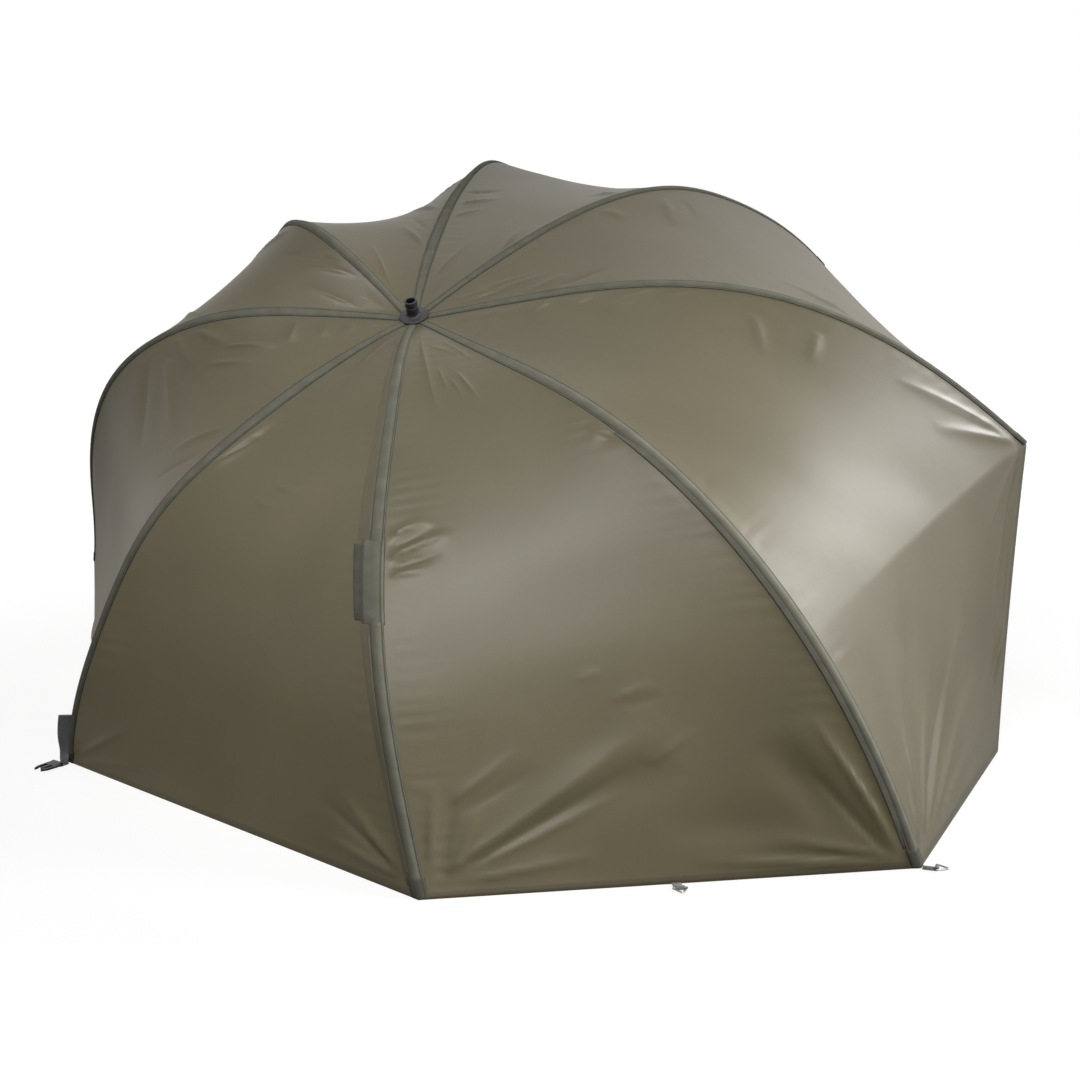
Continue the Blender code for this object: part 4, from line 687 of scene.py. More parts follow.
class Look:
    """One material's node tree, with short calls for the nodes that the materials share."""

    def __init__(self, name, roughness, metallic=0.0):
        self.material = bpy.data.materials.new(name)
        self.material.use_nodes = True
        self.nodes = self.material.node_tree.nodes
        self.shader = self.nodes["Principled BSDF"]
        self.set_shader("Roughness", roughness)
        self.set_shader("Metallic", metallic)

    def link(self, source, target):
        self.material.node_tree.links.new(source, target)

    def set_input(self, socket, value):
        if isinstance(value, bpy.types.NodeSocket):
            self.link(value, socket)
        else:
            socket.default_value = value

    def set_shader(self, name, value):
        self.set_input(self.shader.inputs[name], value)

    def add(self, kind, **inputs):
        """A node of one kind, with its inputs set by name."""
        node = self.nodes.new("ShaderNode" + kind)
        for name, value in inputs.items():
            self.set_input(node.inputs[name], value)
        return node

    def reckon(self, operation, first, second=0.0, clamp=False):
        node = self.nodes.new("ShaderNodeMath")
        node.operation = operation
        node.use_clamp = clamp
        self.set_input(node.inputs[0], first)
        self.set_input(node.inputs[1], second)
        return node.outputs[0]

    def total(self, first, second, clamp=False):
        return self.reckon("ADD", first, second, clamp)

    def product(self, first, second):
        return self.reckon("MULTIPLY", first, second)

    def span(self, value, low, high, to_low=0.0, to_high=1.0):
        node = self.add("MapRange", Value=value)
        for name, number in (("From Min", low), ("From Max", high), ("To Min", to_low), ("To Max", to_high)):
            node.inputs[name].default_value = number
        return node.outputs["Result"]

    def spread(self, noise_value, to_low, to_high):
        """The range that noise mostly keeps to, spread from one value to another."""
        return self.span(noise_value, *NOISE_RANGE, to_low, to_high)

    def places(self):
        node = self.nodes.new("ShaderNodeUVMap")
        node.uv_map = "pattern"
        return node.outputs[0]

    def object_places(self):
        return self.nodes.new("ShaderNodeTexCoord").outputs["Object"]

    def along(self, places):
        return self.add("SeparateXYZ", Vector=places).outputs["Y"]

    def attribute(self, name):
        node = self.nodes.new("ShaderNodeAttribute")
        node.attribute_name = name
        return node.outputs["Fac"]

    def stretched(self, places, scale):
        return self.add("Mapping", Vector=places, Scale=scale).outputs[0]

    def noise(self, places, size, detail=2.0, roughness=0.5):
        """Noise from 0 to 1 whose blots are about size metres across."""
        node = self.add("TexNoise", Vector=places, Scale=1 / size, Detail=detail, Roughness=roughness)
        return node.outputs["Fac"]

    def wave(self, places, axis, period):
        node = self.add("TexWave", Vector=places, Scale=WAVE_PERIOD / period)
        node.bands_direction = axis
        return node.outputs["Fac"]

    def blend(self, share, first, second):
        node = self.nodes.new("ShaderNodeMix")
        node.data_type = "RGBA"
        self.set_input(node.inputs[0], share)
        for socket, colour in ((node.inputs[6], first), (node.inputs[7], second)):
            self.set_input(socket, (*colour, 1) if isinstance(colour, tuple) else colour)
        return node.outputs[2]

    def bump(self, height, relief, before=None):
        """Relief gives the bump's depth in metres and its strength."""
        node = self.add("Bump", Height=height, Distance=relief[0], Strength=relief[1])
        if before is not None:
            self.link(before, node.inputs["Normal"])
        return node.outputs[0]

    def finish(self, colour, normal, roughness=None):
        self.set_shader("Base Color", colour)
        self.set_shader("Normal", normal)
        if roughness is not None:
            self.set_shader("Roughness", roughness)
        return self.material

    def show(self, shader):
        """Takes another shader than the plain one for the surface."""
        self.link(shader.outputs[0], self.nodes["Material Output"].inputs["Surface"])
        return self.material


# Nodes that all materials share: the range that noise mostly keeps to, a wider one, and a wave's own period
NOISE_RANGE = (0.3, 0.7)
WIDE_RANGE = (0.2, 0.8)
WAVE_PERIOD = math.tau / 20

# Cloth: colours, sizes of what its surface shows, shares of tints, and reliefs as (depth, strength)
CLOTH_DARK = (0.13, 0.117, 0.073)
CLOTH_LIGHT = (0.182, 0.165, 0.107)
CLOTH_HEM = (0.075, 0.07, 0.05)
CLOTH_THROUGH = (0.74, 0.64, 0.38)
THROUGH_TINT = 0.85
THROUGH_SHARE = 0.34
CLOTH_ROUGHNESS = 0.38
ROUGHNESS_SWAY = 0.05
CLOTH_SHEEN = 0.2
CLOTH_SHEEN_ROUGHNESS = 0.45
THREAD = 1.1 * MM
THREAD_RELIEF_SHARE = 0.3
SLUB_SIZE = 1.6 * MM
SLUB_STRETCH = 0.06
SLUB_TONE = 0.22
TONE_SIZE = 220 * MM
TONE_STRETCH = 0.6
TONE_SHARES = (0.15, 0.75)
CRINKLE_SIZE = 34 * MM
CRINKLE_RELIEF = (0.5 * MM, 0.5)
FINE_CRINKLE_SIZE = 5 * MM
WEAVE_RELIEF = (0.1 * MM, 0.5)
HEM_TINT = 0.75
HEM_STITCH_GAP = 10 * MM
HEM_STITCH_TINT = 0.6
STITCH_PITCH = 3.4 * MM
STITCH_WIDTH = 1.1 * MM
STITCH_DASH = -0.4

# Seam tape, whose stitches run in a groove near each edge, with shade painted into that groove and along both
# edges
TAPE_ROUGHNESS = 0.8
TAPE_SHINE = 0.15
TAPE_THREAD = 1.6 * MM
TAPE_TONE_SIZE = 30 * MM
TAPE_TONE_SHARES = (0.1, 0.7)
TAPE_THREAD_SHARES = (-0.15, 0.3)
# Painted shadow line along both tape edges: where it starts and ends across the tape, and how strong it is
TAPE_EDGE_SHARES = (0.9, 0.97)
TAPE_EDGE_PAINTED_SHADE = 0.7
TAPE_LUMP_SIZE = 7 * MM
TAPE_LUMP_RELIEF = (0.6 * MM, 0.6)
TAPE_WEAVE_RELIEF = (0.2 * MM, 0.6)
STITCH_PLACE_SHARE = 0.74
STITCH_WIDTH_SHARE = 0.08
STITCH_RELIEF = (0.4 * MM, 0.8)
STITCH_TINT = 0.8
STITCH_THREAD = (0.115, 0.112, 0.082)
# The near-black colour of the shade painted along the tape's edges and in its stitch groove
TAPE_PAINTED_SHADE = (0.03, 0.03, 0.02)
# Painted shade in the stitch groove: its width across the tape, and how strong it is
GROOVE_WIDTH_SHARE = 0.15
GROOVE_PAINTED_SHADE = 0.5

# Webbing
WEBBING_ROUGHNESS = 0.8
WEBBING_SHEEN = 0.3
WEBBING_RIB = 2.2 * MM
WEBBING_THREAD = 1.5 * MM
WEBBING_THREAD_SHARE = 0.55
WEBBING_TONE_SIZE = 12 * MM
WEBBING_TONE_SHARE = 0.7
WEBBING_FUZZ_SIZE = 0.8 * MM
WEBBING_RIB_RELIEF = (0.35 * MM, 0.8)
WEBBING_FUZZ_RELIEF = (0.1 * MM, 0.6)

# Moulded nylon
GRAIN_SIZE = 0.7 * MM
GRAIN_RELIEF = (0.06 * MM, 0.6)
SINK_SIZE = 9 * MM
SINK_RELIEF = (0.4 * MM, 0.4)
SINK_ROUGHNESS = (-0.07, 0.09)
RUBBED_SIZE = 4 * MM
RUBBED_RANGE = (0.58, 0.72)
RUBBED_TINT = 0.7

# Metal
DRAWN_SIZE = 0.9 * MM
DRAWN_STRETCH = 0.04
DRAWN_RELIEF = (0.03 * MM, 0.5)
SPOT_SIZE = 14 * MM
SPOT_RANGE = (0.35, 0.65)
SPOT_ROUGHNESS = (-0.06, 0.08)
SCRATCH_SIZE = 1.5 * MM
SCRATCH_STRETCH = (1, 0.08, 0.3)
SCRATCH_RANGE = (0.66, 0.72)
SCRATCH_TINT = 0.5
SCRATCH_RELIEF = (0.05 * MM, 0.5)

# Glass fibre
FIBRE_ROUGHNESS = 0.32
FIBRE_SIZE = 0.6 * MM
FIBRE_STRETCH = 0.05
FIBRE_RANGE = (0.4, 0.75)
FIBRE_RELIEF = (0.05 * MM, 0.5)
FIBRE_DARK = (0.018, 0.018, 0.017)
FIBRE_LIGHT = (0.075, 0.073, 0.066)
FIBRE_BLOT_SIZE = 40 * MM
FIBRE_BLOT_SHARE = 0.4

# Floor: its colour, how white it looks near by, where it turns fully white, and how much of that gloss shows
FLOOR_ROUGHNESS = 0.9
FLOOR_COLOUR = (0.2, 0.2, 0.195, 1)
FLOOR_NEAR_WHITE = 0.84
FLOOR_WHITE_SPAN = (1.2, 2.4)
FLOOR_IN_GLOSS = 0.3


def weave(look, places, pitch):
    """Two sets of threads over and under each other, from 0 to 1."""
    return look.product(look.total(look.wave(places, "X", pitch), look.wave(places, "Y", pitch)), 0.5)


def slubs(look, places):
    """Threads that are here and there a little thicker, both ways."""
    one = look.noise(look.stretched(places, (SLUB_STRETCH, 1, 1)), SLUB_SIZE, 1)
    other = look.noise(look.stretched(places, (1, SLUB_STRETCH, 1)), SLUB_SIZE, 1)
    return look.product(look.total(one, other), 0.5)


def near_line(look, gap, width):
    return look.reckon("LESS_THAN", look.reckon("ABSOLUTE", gap), width / 2)


def stitches(look, gap, width, along):
    """Thread on a sewing line: 1 where the gap to the line is under half the width, in dashes."""
    wave = look.reckon("SINE", look.product(along, math.tau / STITCH_PITCH))
    dash = look.reckon("GREATER_THAN", wave, STITCH_DASH)
    return look.product(near_line(look, gap, width), dash)


def cloth_material(name, hemmed):
    """Coated cloth that lets some light through, darker where a hem is doubled."""
    look = Look(name, CLOTH_ROUGHNESS)
    places = look.places()
    slub = slubs(look, places)
    tone = look.noise(look.stretched(places, (TONE_STRETCH, 1, 1)), TONE_SIZE, 3)
    share = look.total(look.spread(tone, *TONE_SHARES), look.spread(slub, -SLUB_TONE, SLUB_TONE), True)
    colour = look.blend(share, CLOTH_DARK, CLOTH_LIGHT)
    fine = look.noise(places, FINE_CRINKLE_SIZE, 3, 0.6)
    normal = look.bump(look.noise(places, CRINKLE_SIZE), CRINKLE_RELIEF)
    normal = look.bump(fine, WEAVE_RELIEF, normal)
    threads = look.product(weave(look, places, THREAD), THREAD_RELIEF_SHARE)
    normal = look.bump(look.total(threads, slub), WEAVE_RELIEF, normal)
    if hemmed:
        gap = look.attribute("hem_gap")
        line_gap = look.reckon("SUBTRACT", gap, HEM_STITCH_GAP)
        thread = stitches(look, line_gap, STITCH_WIDTH, look.along(places))
        colour = look.blend(look.span(gap, HEM_WIDTH, HEM_WIDTH + MM, HEM_TINT, 0), colour, CLOTH_HEM)
        colour = look.blend(look.product(thread, HEM_STITCH_TINT), colour, CLOTH_DARK)
    sways = (-ROUGHNESS_SWAY, ROUGHNESS_SWAY)
    roughness = look.span(tone, *WIDE_RANGE, *(CLOTH_ROUGHNESS + sway for sway in sways))
    roughness = look.total(roughness, look.span(fine, *WIDE_RANGE, *sways))
    look.set_shader("Sheen Weight", CLOTH_SHEEN)
    look.set_shader("Sheen Roughness", CLOTH_SHEEN_ROUGHNESS)
    look.finish(colour, normal, roughness)
    through_colour = look.blend(THROUGH_TINT, colour, CLOTH_THROUGH)
    through = look.add("BsdfTranslucent", Color=through_colour, Normal=normal)
    both = look.add("MixShader", Fac=THROUGH_SHARE)
    look.link(look.shader.outputs[0], both.inputs[1])
    look.link(through.outputs[0], both.inputs[2])
    return look.show(both)


def tape_material(name, dark, light):
    """Bound seam tape: a coarser matt weave with a row of stitches near each edge, painted shade in the
    stitch groove and a painted shadow line along both edges.
    """
    look = Look(name, TAPE_ROUGHNESS)
    look.set_shader("Specular IOR Level", TAPE_SHINE)
    places = look.places()
    threads = weave(look, places, TAPE_THREAD)
    tone = look.spread(look.noise(places, TAPE_TONE_SIZE, 3), *TAPE_TONE_SHARES)
    share = look.total(tone, look.span(threads, *WIDE_RANGE, *TAPE_THREAD_SHARES), True)
    side = look.reckon("ABSOLUTE", look.attribute("side"))
    line_gap = look.reckon("SUBTRACT", side, STITCH_PLACE_SHARE)
    groove = near_line(look, line_gap, GROOVE_WIDTH_SHARE)
    thread = stitches(look, line_gap, STITCH_WIDTH_SHARE, look.along(places))
    colour = look.blend(share, dark, light)
    # Painted shadow line along the tape's two edges, where it stands off the cloth
    colour = look.blend(look.span(side, *TAPE_EDGE_SHARES, 0, TAPE_EDGE_PAINTED_SHADE), colour, TAPE_PAINTED_SHADE)
    # Painted shade in the stitch groove
    colour = look.blend(look.product(groove, GROOVE_PAINTED_SHADE), colour, TAPE_PAINTED_SHADE)
    colour = look.blend(look.product(thread, STITCH_TINT), colour, STITCH_THREAD)
    normal = look.bump(look.noise(places, TAPE_LUMP_SIZE), TAPE_LUMP_RELIEF)
    normal = look.bump(look.total(threads, slubs(look, places)), TAPE_WEAVE_RELIEF, normal)
    return look.finish(colour, look.bump(thread, STITCH_RELIEF, normal))


def webbing_material(name, dark, light):
    """Woven webbing with ribs across it."""
    look = Look(name, WEBBING_ROUGHNESS)
    look.set_shader("Sheen Weight", WEBBING_SHEEN)
    places = look.places()
    threads = look.span(look.wave(places, "X", WEBBING_THREAD), 0, 1, WEBBING_THREAD_SHARE, 1)
    ribs = look.product(look.wave(places, "Y", WEBBING_RIB), threads)
    tone = look.spread(look.noise(places, WEBBING_TONE_SIZE, 3), WEBBING_TONE_SHARE, 1)
    normal = look.bump(ribs, WEBBING_RIB_RELIEF)
    normal = look.bump(look.noise(places, WEBBING_FUZZ_SIZE), WEBBING_FUZZ_RELIEF, normal)
    return look.finish(look.blend(look.product(ribs, tone), dark, light), normal)


def plastic_material(name, dark, light, roughness):
    """Moulded nylon with a faint grain, soft sink marks and rubbed spots."""
    look = Look(name, roughness)
    places = look.object_places()
    sinks = look.noise(places, SINK_SIZE)
    rubbed = look.span(look.noise(places, RUBBED_SIZE, 5, 0.7), *RUBBED_RANGE)
    normal = look.bump(look.noise(places, GRAIN_SIZE), GRAIN_RELIEF)
    normal = look.bump(sinks, SINK_RELIEF, normal)
    rough = look.spread(sinks, *(roughness + change for change in SINK_ROUGHNESS))
    return look.finish(look.blend(look.product(rubbed, RUBBED_TINT), dark, light), normal, rough)


def metal_material(name, dark, light, roughness, metallic=1.0):
    """Drawn metal: fine lines along the piece, dull spots and a few scratches."""
    look = Look(name, roughness, metallic)
    places = look.object_places()
    lines = look.noise(look.stretched(places, (1, 1, DRAWN_STRETCH)), DRAWN_SIZE, 3)
    spots = look.noise(places, SPOT_SIZE, 4, 0.6)
    scratches = look.noise(look.stretched(places, SCRATCH_STRETCH), SCRATCH_SIZE, 1)
    scratches = look.span(scratches, *SCRATCH_RANGE)
    share = look.total(look.span(spots, *SPOT_RANGE), look.product(scratches, SCRATCH_TINT), True)
    normal = look.bump(lines, DRAWN_RELIEF)
    normal = look.bump(scratches, SCRATCH_RELIEF, normal)
    rough = look.spread(lines, roughness - ROUGHNESS_SWAY, roughness + ROUGHNESS_SWAY)
    rough = look.total(rough, look.spread(spots, *SPOT_ROUGHNESS))
    return look.finish(look.blend(share, dark, light), normal, rough)


def rod_material():
    """Pultruded glass fibre: dark, with pale lengthwise fibres under a thin gloss."""
    look = Look("glass_fibre", FIBRE_ROUGHNESS)
    places = look.object_places()
    fibres = look.noise(look.stretched(places, (1, 1, FIBRE_STRETCH)), FIBRE_SIZE, 3)
    blots = look.spread(look.noise(places, FIBRE_BLOT_SIZE), FIBRE_BLOT_SHARE, 1)
    share = look.product(look.span(fibres, *FIBRE_RANGE), blots)
    return look.finish(look.blend(share, FIBRE_DARK, FIBRE_LIGHT), look.bump(fibres, FIBRE_RELIEF))


def floor_material():
    """Pale, and white to the camera towards the horizon, so that only the object's shadow shows on it."""
    look = Look("floor", FLOOR_ROUGHNESS)
    look.set_shader("Base Color", FLOOR_COLOUR)
    distance = look.nodes.new("ShaderNodeVectorMath")
    distance.operation = "LENGTH"
    look.link(look.object_places(), distance.inputs[0])
    white = look.span(distance.outputs["Value"], *FLOOR_WHITE_SPAN, FLOOR_NEAR_WHITE, 1)
    rays = look.nodes.new("ShaderNodeLightPath").outputs
    seen = look.reckon("MAXIMUM", rays["Is Glossy Ray"], rays["Is Transmission Ray"])
    seen = look.reckon("MAXIMUM", look.product(seen, FLOOR_IN_GLOSS), rays["Is Camera Ray"])
    glow = look.add("Emission", Strength=look.product(white, seen))
    both = look.nodes.new("ShaderNodeAddShader")
    look.link(look.shader.outputs[0], both.inputs[0])
    look.link(glow.outputs[0], both.inputs[1])
    return look.show(both)


MATERIALS = {
    "cloth": cloth_material("coated_cloth", True),
    "cloth_plain": cloth_material("flap_cloth", False),
    "tape": tape_material("seam_tape", (0.125, 0.122, 0.092), (0.188, 0.184, 0.144)),
    "tape_dark": tape_material("patch_tape", (0.08, 0.08, 0.061), (0.125, 0.124, 0.098)),
    "black": plastic_material("black_nylon", (0.014, 0.014, 0.015), (0.045, 0.045, 0.047), 0.42),
    "grey": plastic_material("grey_nylon", (0.1, 0.1, 0.105), (0.17, 0.17, 0.175), 0.45),
    "steel": metal_material("bright_steel", (0.5, 0.5, 0.49), (0.66, 0.66, 0.65), 0.28),
    "painted": metal_material("painted_steel", (0.035, 0.04, 0.034), (0.07, 0.075, 0.066), 0.4, 0.25),
    "rod": rod_material(),
    "webbing": webbing_material("grey_webbing", (0.13, 0.134, 0.144), (0.36, 0.367, 0.38)),
}

NODE_LOOKS = {
    "crown_hub": "black", "runner": "black", "runner_button": "grey", "tilt_fork": "black",
    "tilt_tongue": "black", "clamp_collar": "black", "clamp_screw": "black", "corner_buckle": "black",
    "tilt_pin": "steel", "ground_spike": "steel", "extension_tube": "steel", "upper_pole": "painted",
    "lower_pole": "painted",
}
SOFT_EDGE = 0.6 * MM
SOFT_EDGE_LIMIT_DEG = 40


def soften(made, width):
    edge = made.modifiers.new("soft_edge", "BEVEL")
    edge.width = width
    edge.segments = 2
    edge.limit_method = "ANGLE"
    edge.angle_limit = math.radians(SOFT_EDGE_LIMIT_DEG)


def finish_nodes():
    """Every carried-over CAD node gets its material, and the moulded ones a softened edge."""
    for name in frame["nodes"]:
        made = bpy.data.objects.get(name)
        look = NODE_LOOKS.get(name, "rod" if name.startswith("stretcher") else None)
        if made is None or look is None:
            continue
        made.data.materials.clear()
        made.data.materials.append(MATERIALS[look])
        if look in ("black", "grey"):
            soften(made, SOFT_EDGE)


# Small parts, with the CAD's own sizes
ROD_RADIUS = 2.5 * MM
ROD_SIDES = 16
ROD_RINGS = 90
ROD_DROP = 10 * MM
ROD_START = 11 * MM
TIP_RADIUS = 4 * MM
TIP_LENGTH = 26 * MM
TIP_INSET = 20 * MM
TIP_EASE = 0.8 * MM
BLADE = 2.6 * MM
EYE_RADIUS = 4.5 * MM
LUG_DROP = 10 * MM
LUG_RADIUS = 4 * MM
LUG = 2.4 * MM
RIVET_RADIUS = 1.2 * MM
RIVET_LENGTH = 5.6 * MM
RIVET_SIDES = 24
PLATE_END_STEPS = 14
FERRULE_RADIUS = 3.3 * MM
FERRULE_LENGTH = 30 * MM
FERRULE_RINGS = 7
POLE_RADIUS = 11 * MM
POLE_WALL = 1.5 * MM
SEAT_GAP = 0.3 * MM
TURNED_SIDES = 72
SHARP_DEG = 35
ROUND_SHARP_DEG = 80
CAP_FLANGE = 5 * MM
CAP_STUB_RADIUS = 12 * MM
CAP_STUB_HEIGHT = 37 * MM
CAP_BORE_RADIUS = 8.8 * MM
CAP_BORE_FLOOR = 10 * MM
CAP_PLUG_LENGTH = 25 * MM
CAP_FILLET = 2.5 * MM
CAP_RIM_FILLET = 1.6 * MM
CAP_RIM_RISE = 2.2 * MM
CAP_LIP_FILLET = 0.8 * MM
# The groove round the stub: share of the stub's height, share of the groove's depth
CAP_GROOVE = 0.7 * MM
CAP_GROOVE_SHARES = ((0.62, 0), (0.64, 1), (0.7, 1), (0.72, 0))
KNUCKLE_DEPTH = 435 * MM
KNUCKLE_TOP = 22 * MM
KNUCKLE_PLUG_LENGTH = 24 * MM
EXTENSION_HEADROOM = 19 * MM
LOWER_TUBE_END = 800 * MM
INNER_TUBE_RADIUS = 8.8 * MM
INNER_TUBE_END = 880 * MM
SPIKE_COLLAR_RADIUS = 12 * MM
SPIKE_COLLAR = 6 * MM
SPIKE_PLUG_LENGTH = 30 * MM
SPIKE_TIP_RADIUS = 3 * MM
SPIKE_NECK = 8 * MM
WEB = 1.6 * MM
WEB_WIDTH = 16 * MM
WEB_LENGTH = 26 * MM
WEB_RAISE = 0.5 * MM
# Across webbing: share of its half width, share of its half thickness
WEB_PROFILE_SHARES = ((-1, 0.35), (-0.96, 0.8), (-0.86, 1), (0.86, 1), (0.96, 0.8), (1, 0.35))
WEB_EYE_DEG = (-70, 170)
WEB_EYE_STEPS = 20
WIRE_RADIUS = 1.5 * MM
WIRE_EYE_GAP = 0.5 * MM
RING_BAR = 25 * MM
RING_REACH = 20 * MM
RING_CORNER = 3.5 * MM
RING_CORNER_STEPS = 6
RING_SIDES = 14
STRAP_RIB = 7
STRAP_WIDTH = 25 * MM
STRAP_HEIGHT = 112 * MM
STRAP_STAND_OFF = 3.2 * MM
STRAP_RUN = 26 * MM
STRAP_STRAIGHT = 14 * MM
STRAP_BESIDE_SEAM = 17 * MM
STRAP_TWIST_DEG = 38
STRAP_ASIDE_POWER = 1.2
STRAP_STEPS = 8
STRAP_HEADING_DEG = 70
STRAP_ROUTE_SHARES = ((1, 1, 1), (0.6, 0.6, 1.6), (0.25, 0.22, 1.6), (0.08, 0.2, 1.6))
STRAP_FOOT_SHARE = 3.6
BUCKLE_BAR_RADIUS = 2 * MM
SIDE_TAB_HEADING_DEG = 177
TAPE_FACE = 1.9 * MM
SIDE_TAB_RIB = 5

# Lamps, each with place, target, size, spread in degrees, power and colour. Places and targets are in metres
# to the right of the umbrella's middle, ahead of it as the camera looks, and above it
LAMPS = {
    "wash": ((3.3, 1.4, 1.9), (0.75, 0, 0), 1.6, 34, 6.2, (1, 1, 1)),
    "top": ((-0.6, -2.2, 3.4), (0, -0.4, 0.4), 2, 40, 6.6, (1, 1, 1)),
    "side": ((3.4, -1.2, 0.6), (0.4, -0.75, 0), 1.5, 40, 7.4, (1, 1, 1)),
    "rear": ((0, -4, 2.4), (0.05, -0.75, 0.35), 1.6, 26, 1.8, (1, 1, 1)),
    "rear_side": ((2.4, -3, 1.8), (0.45, -0.75, 0.1), 1.5, 30, 1, (1, 1, 1)),
    "front": ((0, 3, 0.4), (0, -0.4, 0.2), 2, 120, 9, (1, 0.9, 0.68)),
}
SKY_COLOUR = (0.75, 0.8, 0.9, 1)
SKY_STRENGTH = 0.08
FLOOR_REACH = 9
FLOOR_DROP = 0.5 * MM


def arc(centre, radius, start_deg, end_deg, steps):
    angles = [math.radians(start_deg + (end_deg - start_deg) * k / steps) for k in range(steps + 1)]
    return [(centre[0] + radius * math.cos(a), centre[1] + radius * math.sin(a)) for a in angles]


def lofted(name, rings, sharp_deg=SHARP_DEG, closed=False):
    """Skins rings with as many points each. The ends are flat unless it closes on itself."""
    count = len(rings[0])
    faces = []
    for row in range(len(rings) if closed else len(rings) - 1):
        after = (row + 1) % len(rings)
        for k in range(count):
            other = (k + 1) % count
            faces.append((row * count + k, row * count + other, after * count + other, after * count + k))
    if not closed:
        faces.append(tuple(range(count)))
        faces.append(tuple(range((len(rings) - 1) * count, len(rings) * count)))
    return mesh_object(name, [point for ring in rings for point in ring], faces, sharp_deg=sharp_deg)


def turned(name, profile, place):
    """Turns a closed (radius, z) outline round the z axis of place. A point on the axis stays one point."""
    points, rows, faces = [], [], []
    for radius, z in profile:
        count = TURNED_SIDES if radius else 1
        rows.append(list(range(len(points), len(points) + count)))
        for k in range(count):
            angle = math.tau * k / TURNED_SIDES
            points.append(place @ Vector((radius * math.cos(angle), radius * math.sin(angle), z)))
    for row, after in zip(rows, rows[1:] + rows[:1]):
        if len(row) == 1 and len(after) == 1:
            continue
        for k in range(TURNED_SIDES):
            other = (k + 1) % TURNED_SIDES
            corners = ((row, k), (row, other), (after, other), (after, k))
            face = [ring[corner % len(ring)] for ring, corner in corners]
            faces.append(tuple(dict.fromkeys(face)))
    return mesh_object(name, points, faces, sharp_deg=SHARP_DEG)


def sweep(name, points, radii, sides, up, sharp_deg=SHARP_DEG, closed=False):
    """A round rod through world points, each with its own radius."""
    rings = []
    for k, point in enumerate(points):
        before = points[k - 1] if closed or k else point
        after = points[(k + 1) % len(points)] if closed or k < len(points) - 1 else point
        tangent = (after - before).normalized()
        across = tangent.cross(up).normalized()
        raised = across.cross(tangent)
        angles = [math.tau * (corner + 0.5) / sides for corner in range(sides)]
        rings.append([point + (across * math.cos(a) + raised * math.sin(a)) * radii[k] for a in angles])
    return lofted(name, rings, sharp_deg, closed)


def plate(name, outline, low, high, place):
    """A flat plate with an (x, z) outline and rounded rims, from low to high along y."""
    made = lofted(name, [[place @ Vector((x, level, z)) for x, z in outline] for level in (low, high)])
    soften(made, (high - low) / 5)
    return made


def dress(made, look, body, *nodes):
    """Gives a piece its material and body, and hides the CAD nodes it stands for."""
    made.data.materials.append(MATERIALS[look])
    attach(made, body)
    if nodes:
        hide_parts(*nodes)


def build_crown_cap():
    bore = POLE_RADIUS - POLE_WALL - SEAT_GAP
    lip_height = CAP_STUB_HEIGHT - CAP_LIP_FILLET
    rim = arc((FLANGE_RADIUS - CAP_RIM_FILLET, SEAT_GAP + CAP_RIM_RISE), CAP_RIM_FILLET, 0, 80, 6)
    neck = arc((CAP_STUB_RADIUS + 2 * CAP_FILLET, CAP_FLANGE + 2 * CAP_FILLET), 2 * CAP_FILLET, 262, 184, 8)
    lip = arc((CAP_STUB_RADIUS - CAP_LIP_FILLET, lip_height), CAP_LIP_FILLET, 0, 90, 4)
    inner = arc((CAP_BORE_RADIUS + CAP_LIP_FILLET, lip_height), CAP_LIP_FILLET, 90, 180, 4)
    groove = [(CAP_STUB_RADIUS - CAP_GROOVE * depth, CAP_STUB_HEIGHT * height)
              for height, depth in CAP_GROOVE_SHARES]
    profile = [(0, -CAP_PLUG_LENGTH), (bore, -CAP_PLUG_LENGTH), (bore, SEAT_GAP), (FLANGE_RADIUS, SEAT_GAP)]
    profile += rim + neck + groove + lip + inner + [(CAP_BORE_RADIUS, CAP_BORE_FLOOR), (0, CAP_BORE_FLOOR)]
    dress(turned("cap_and_stub", profile, CROWN), "black", "crown", "crown_cap")


def tube_profile(radius, wall, low, high):
    """A tube whose two ends are eased by a small bevel."""
    ease = wall / 4
    return [(radius, low + ease), (radius, high - ease), (radius - ease, high), (radius - wall + ease, high),
            (radius - wall, high - ease), (radius - wall, low + ease), (radius - wall + ease, low),
            (radius - ease, low)]


def build_tube(name, radius, low, high, look, body, node):
    dress(turned(name, tube_profile(radius, POLE_WALL, low, high), CROWN), look, body, node)


def build_pole():
    knuckle_low = -KNUCKLE_DEPTH - KNUCKLE_TOP
    upper_end = -KNUCKLE_DEPTH + KNUCKLE_TOP + SEAT_GAP
    inner_top = knuckle_low - KNUCKLE_PLUG_LENGTH - EXTENSION_HEADROOM
    build_tube("pole_upper_tube", POLE_RADIUS, upper_end, 0, "painted", "crown", "upper_pole")
    build_tube("pole_lower_tube", POLE_RADIUS, -LOWER_TUBE_END, knuckle_low - SEAT_GAP,
               "painted", "lower_pole", "lower_pole")
    build_tube("pole_inner_tube", INNER_TUBE_RADIUS, -INNER_TUBE_END, inner_top,
               "steel", "pole_extension", "extension_tube")


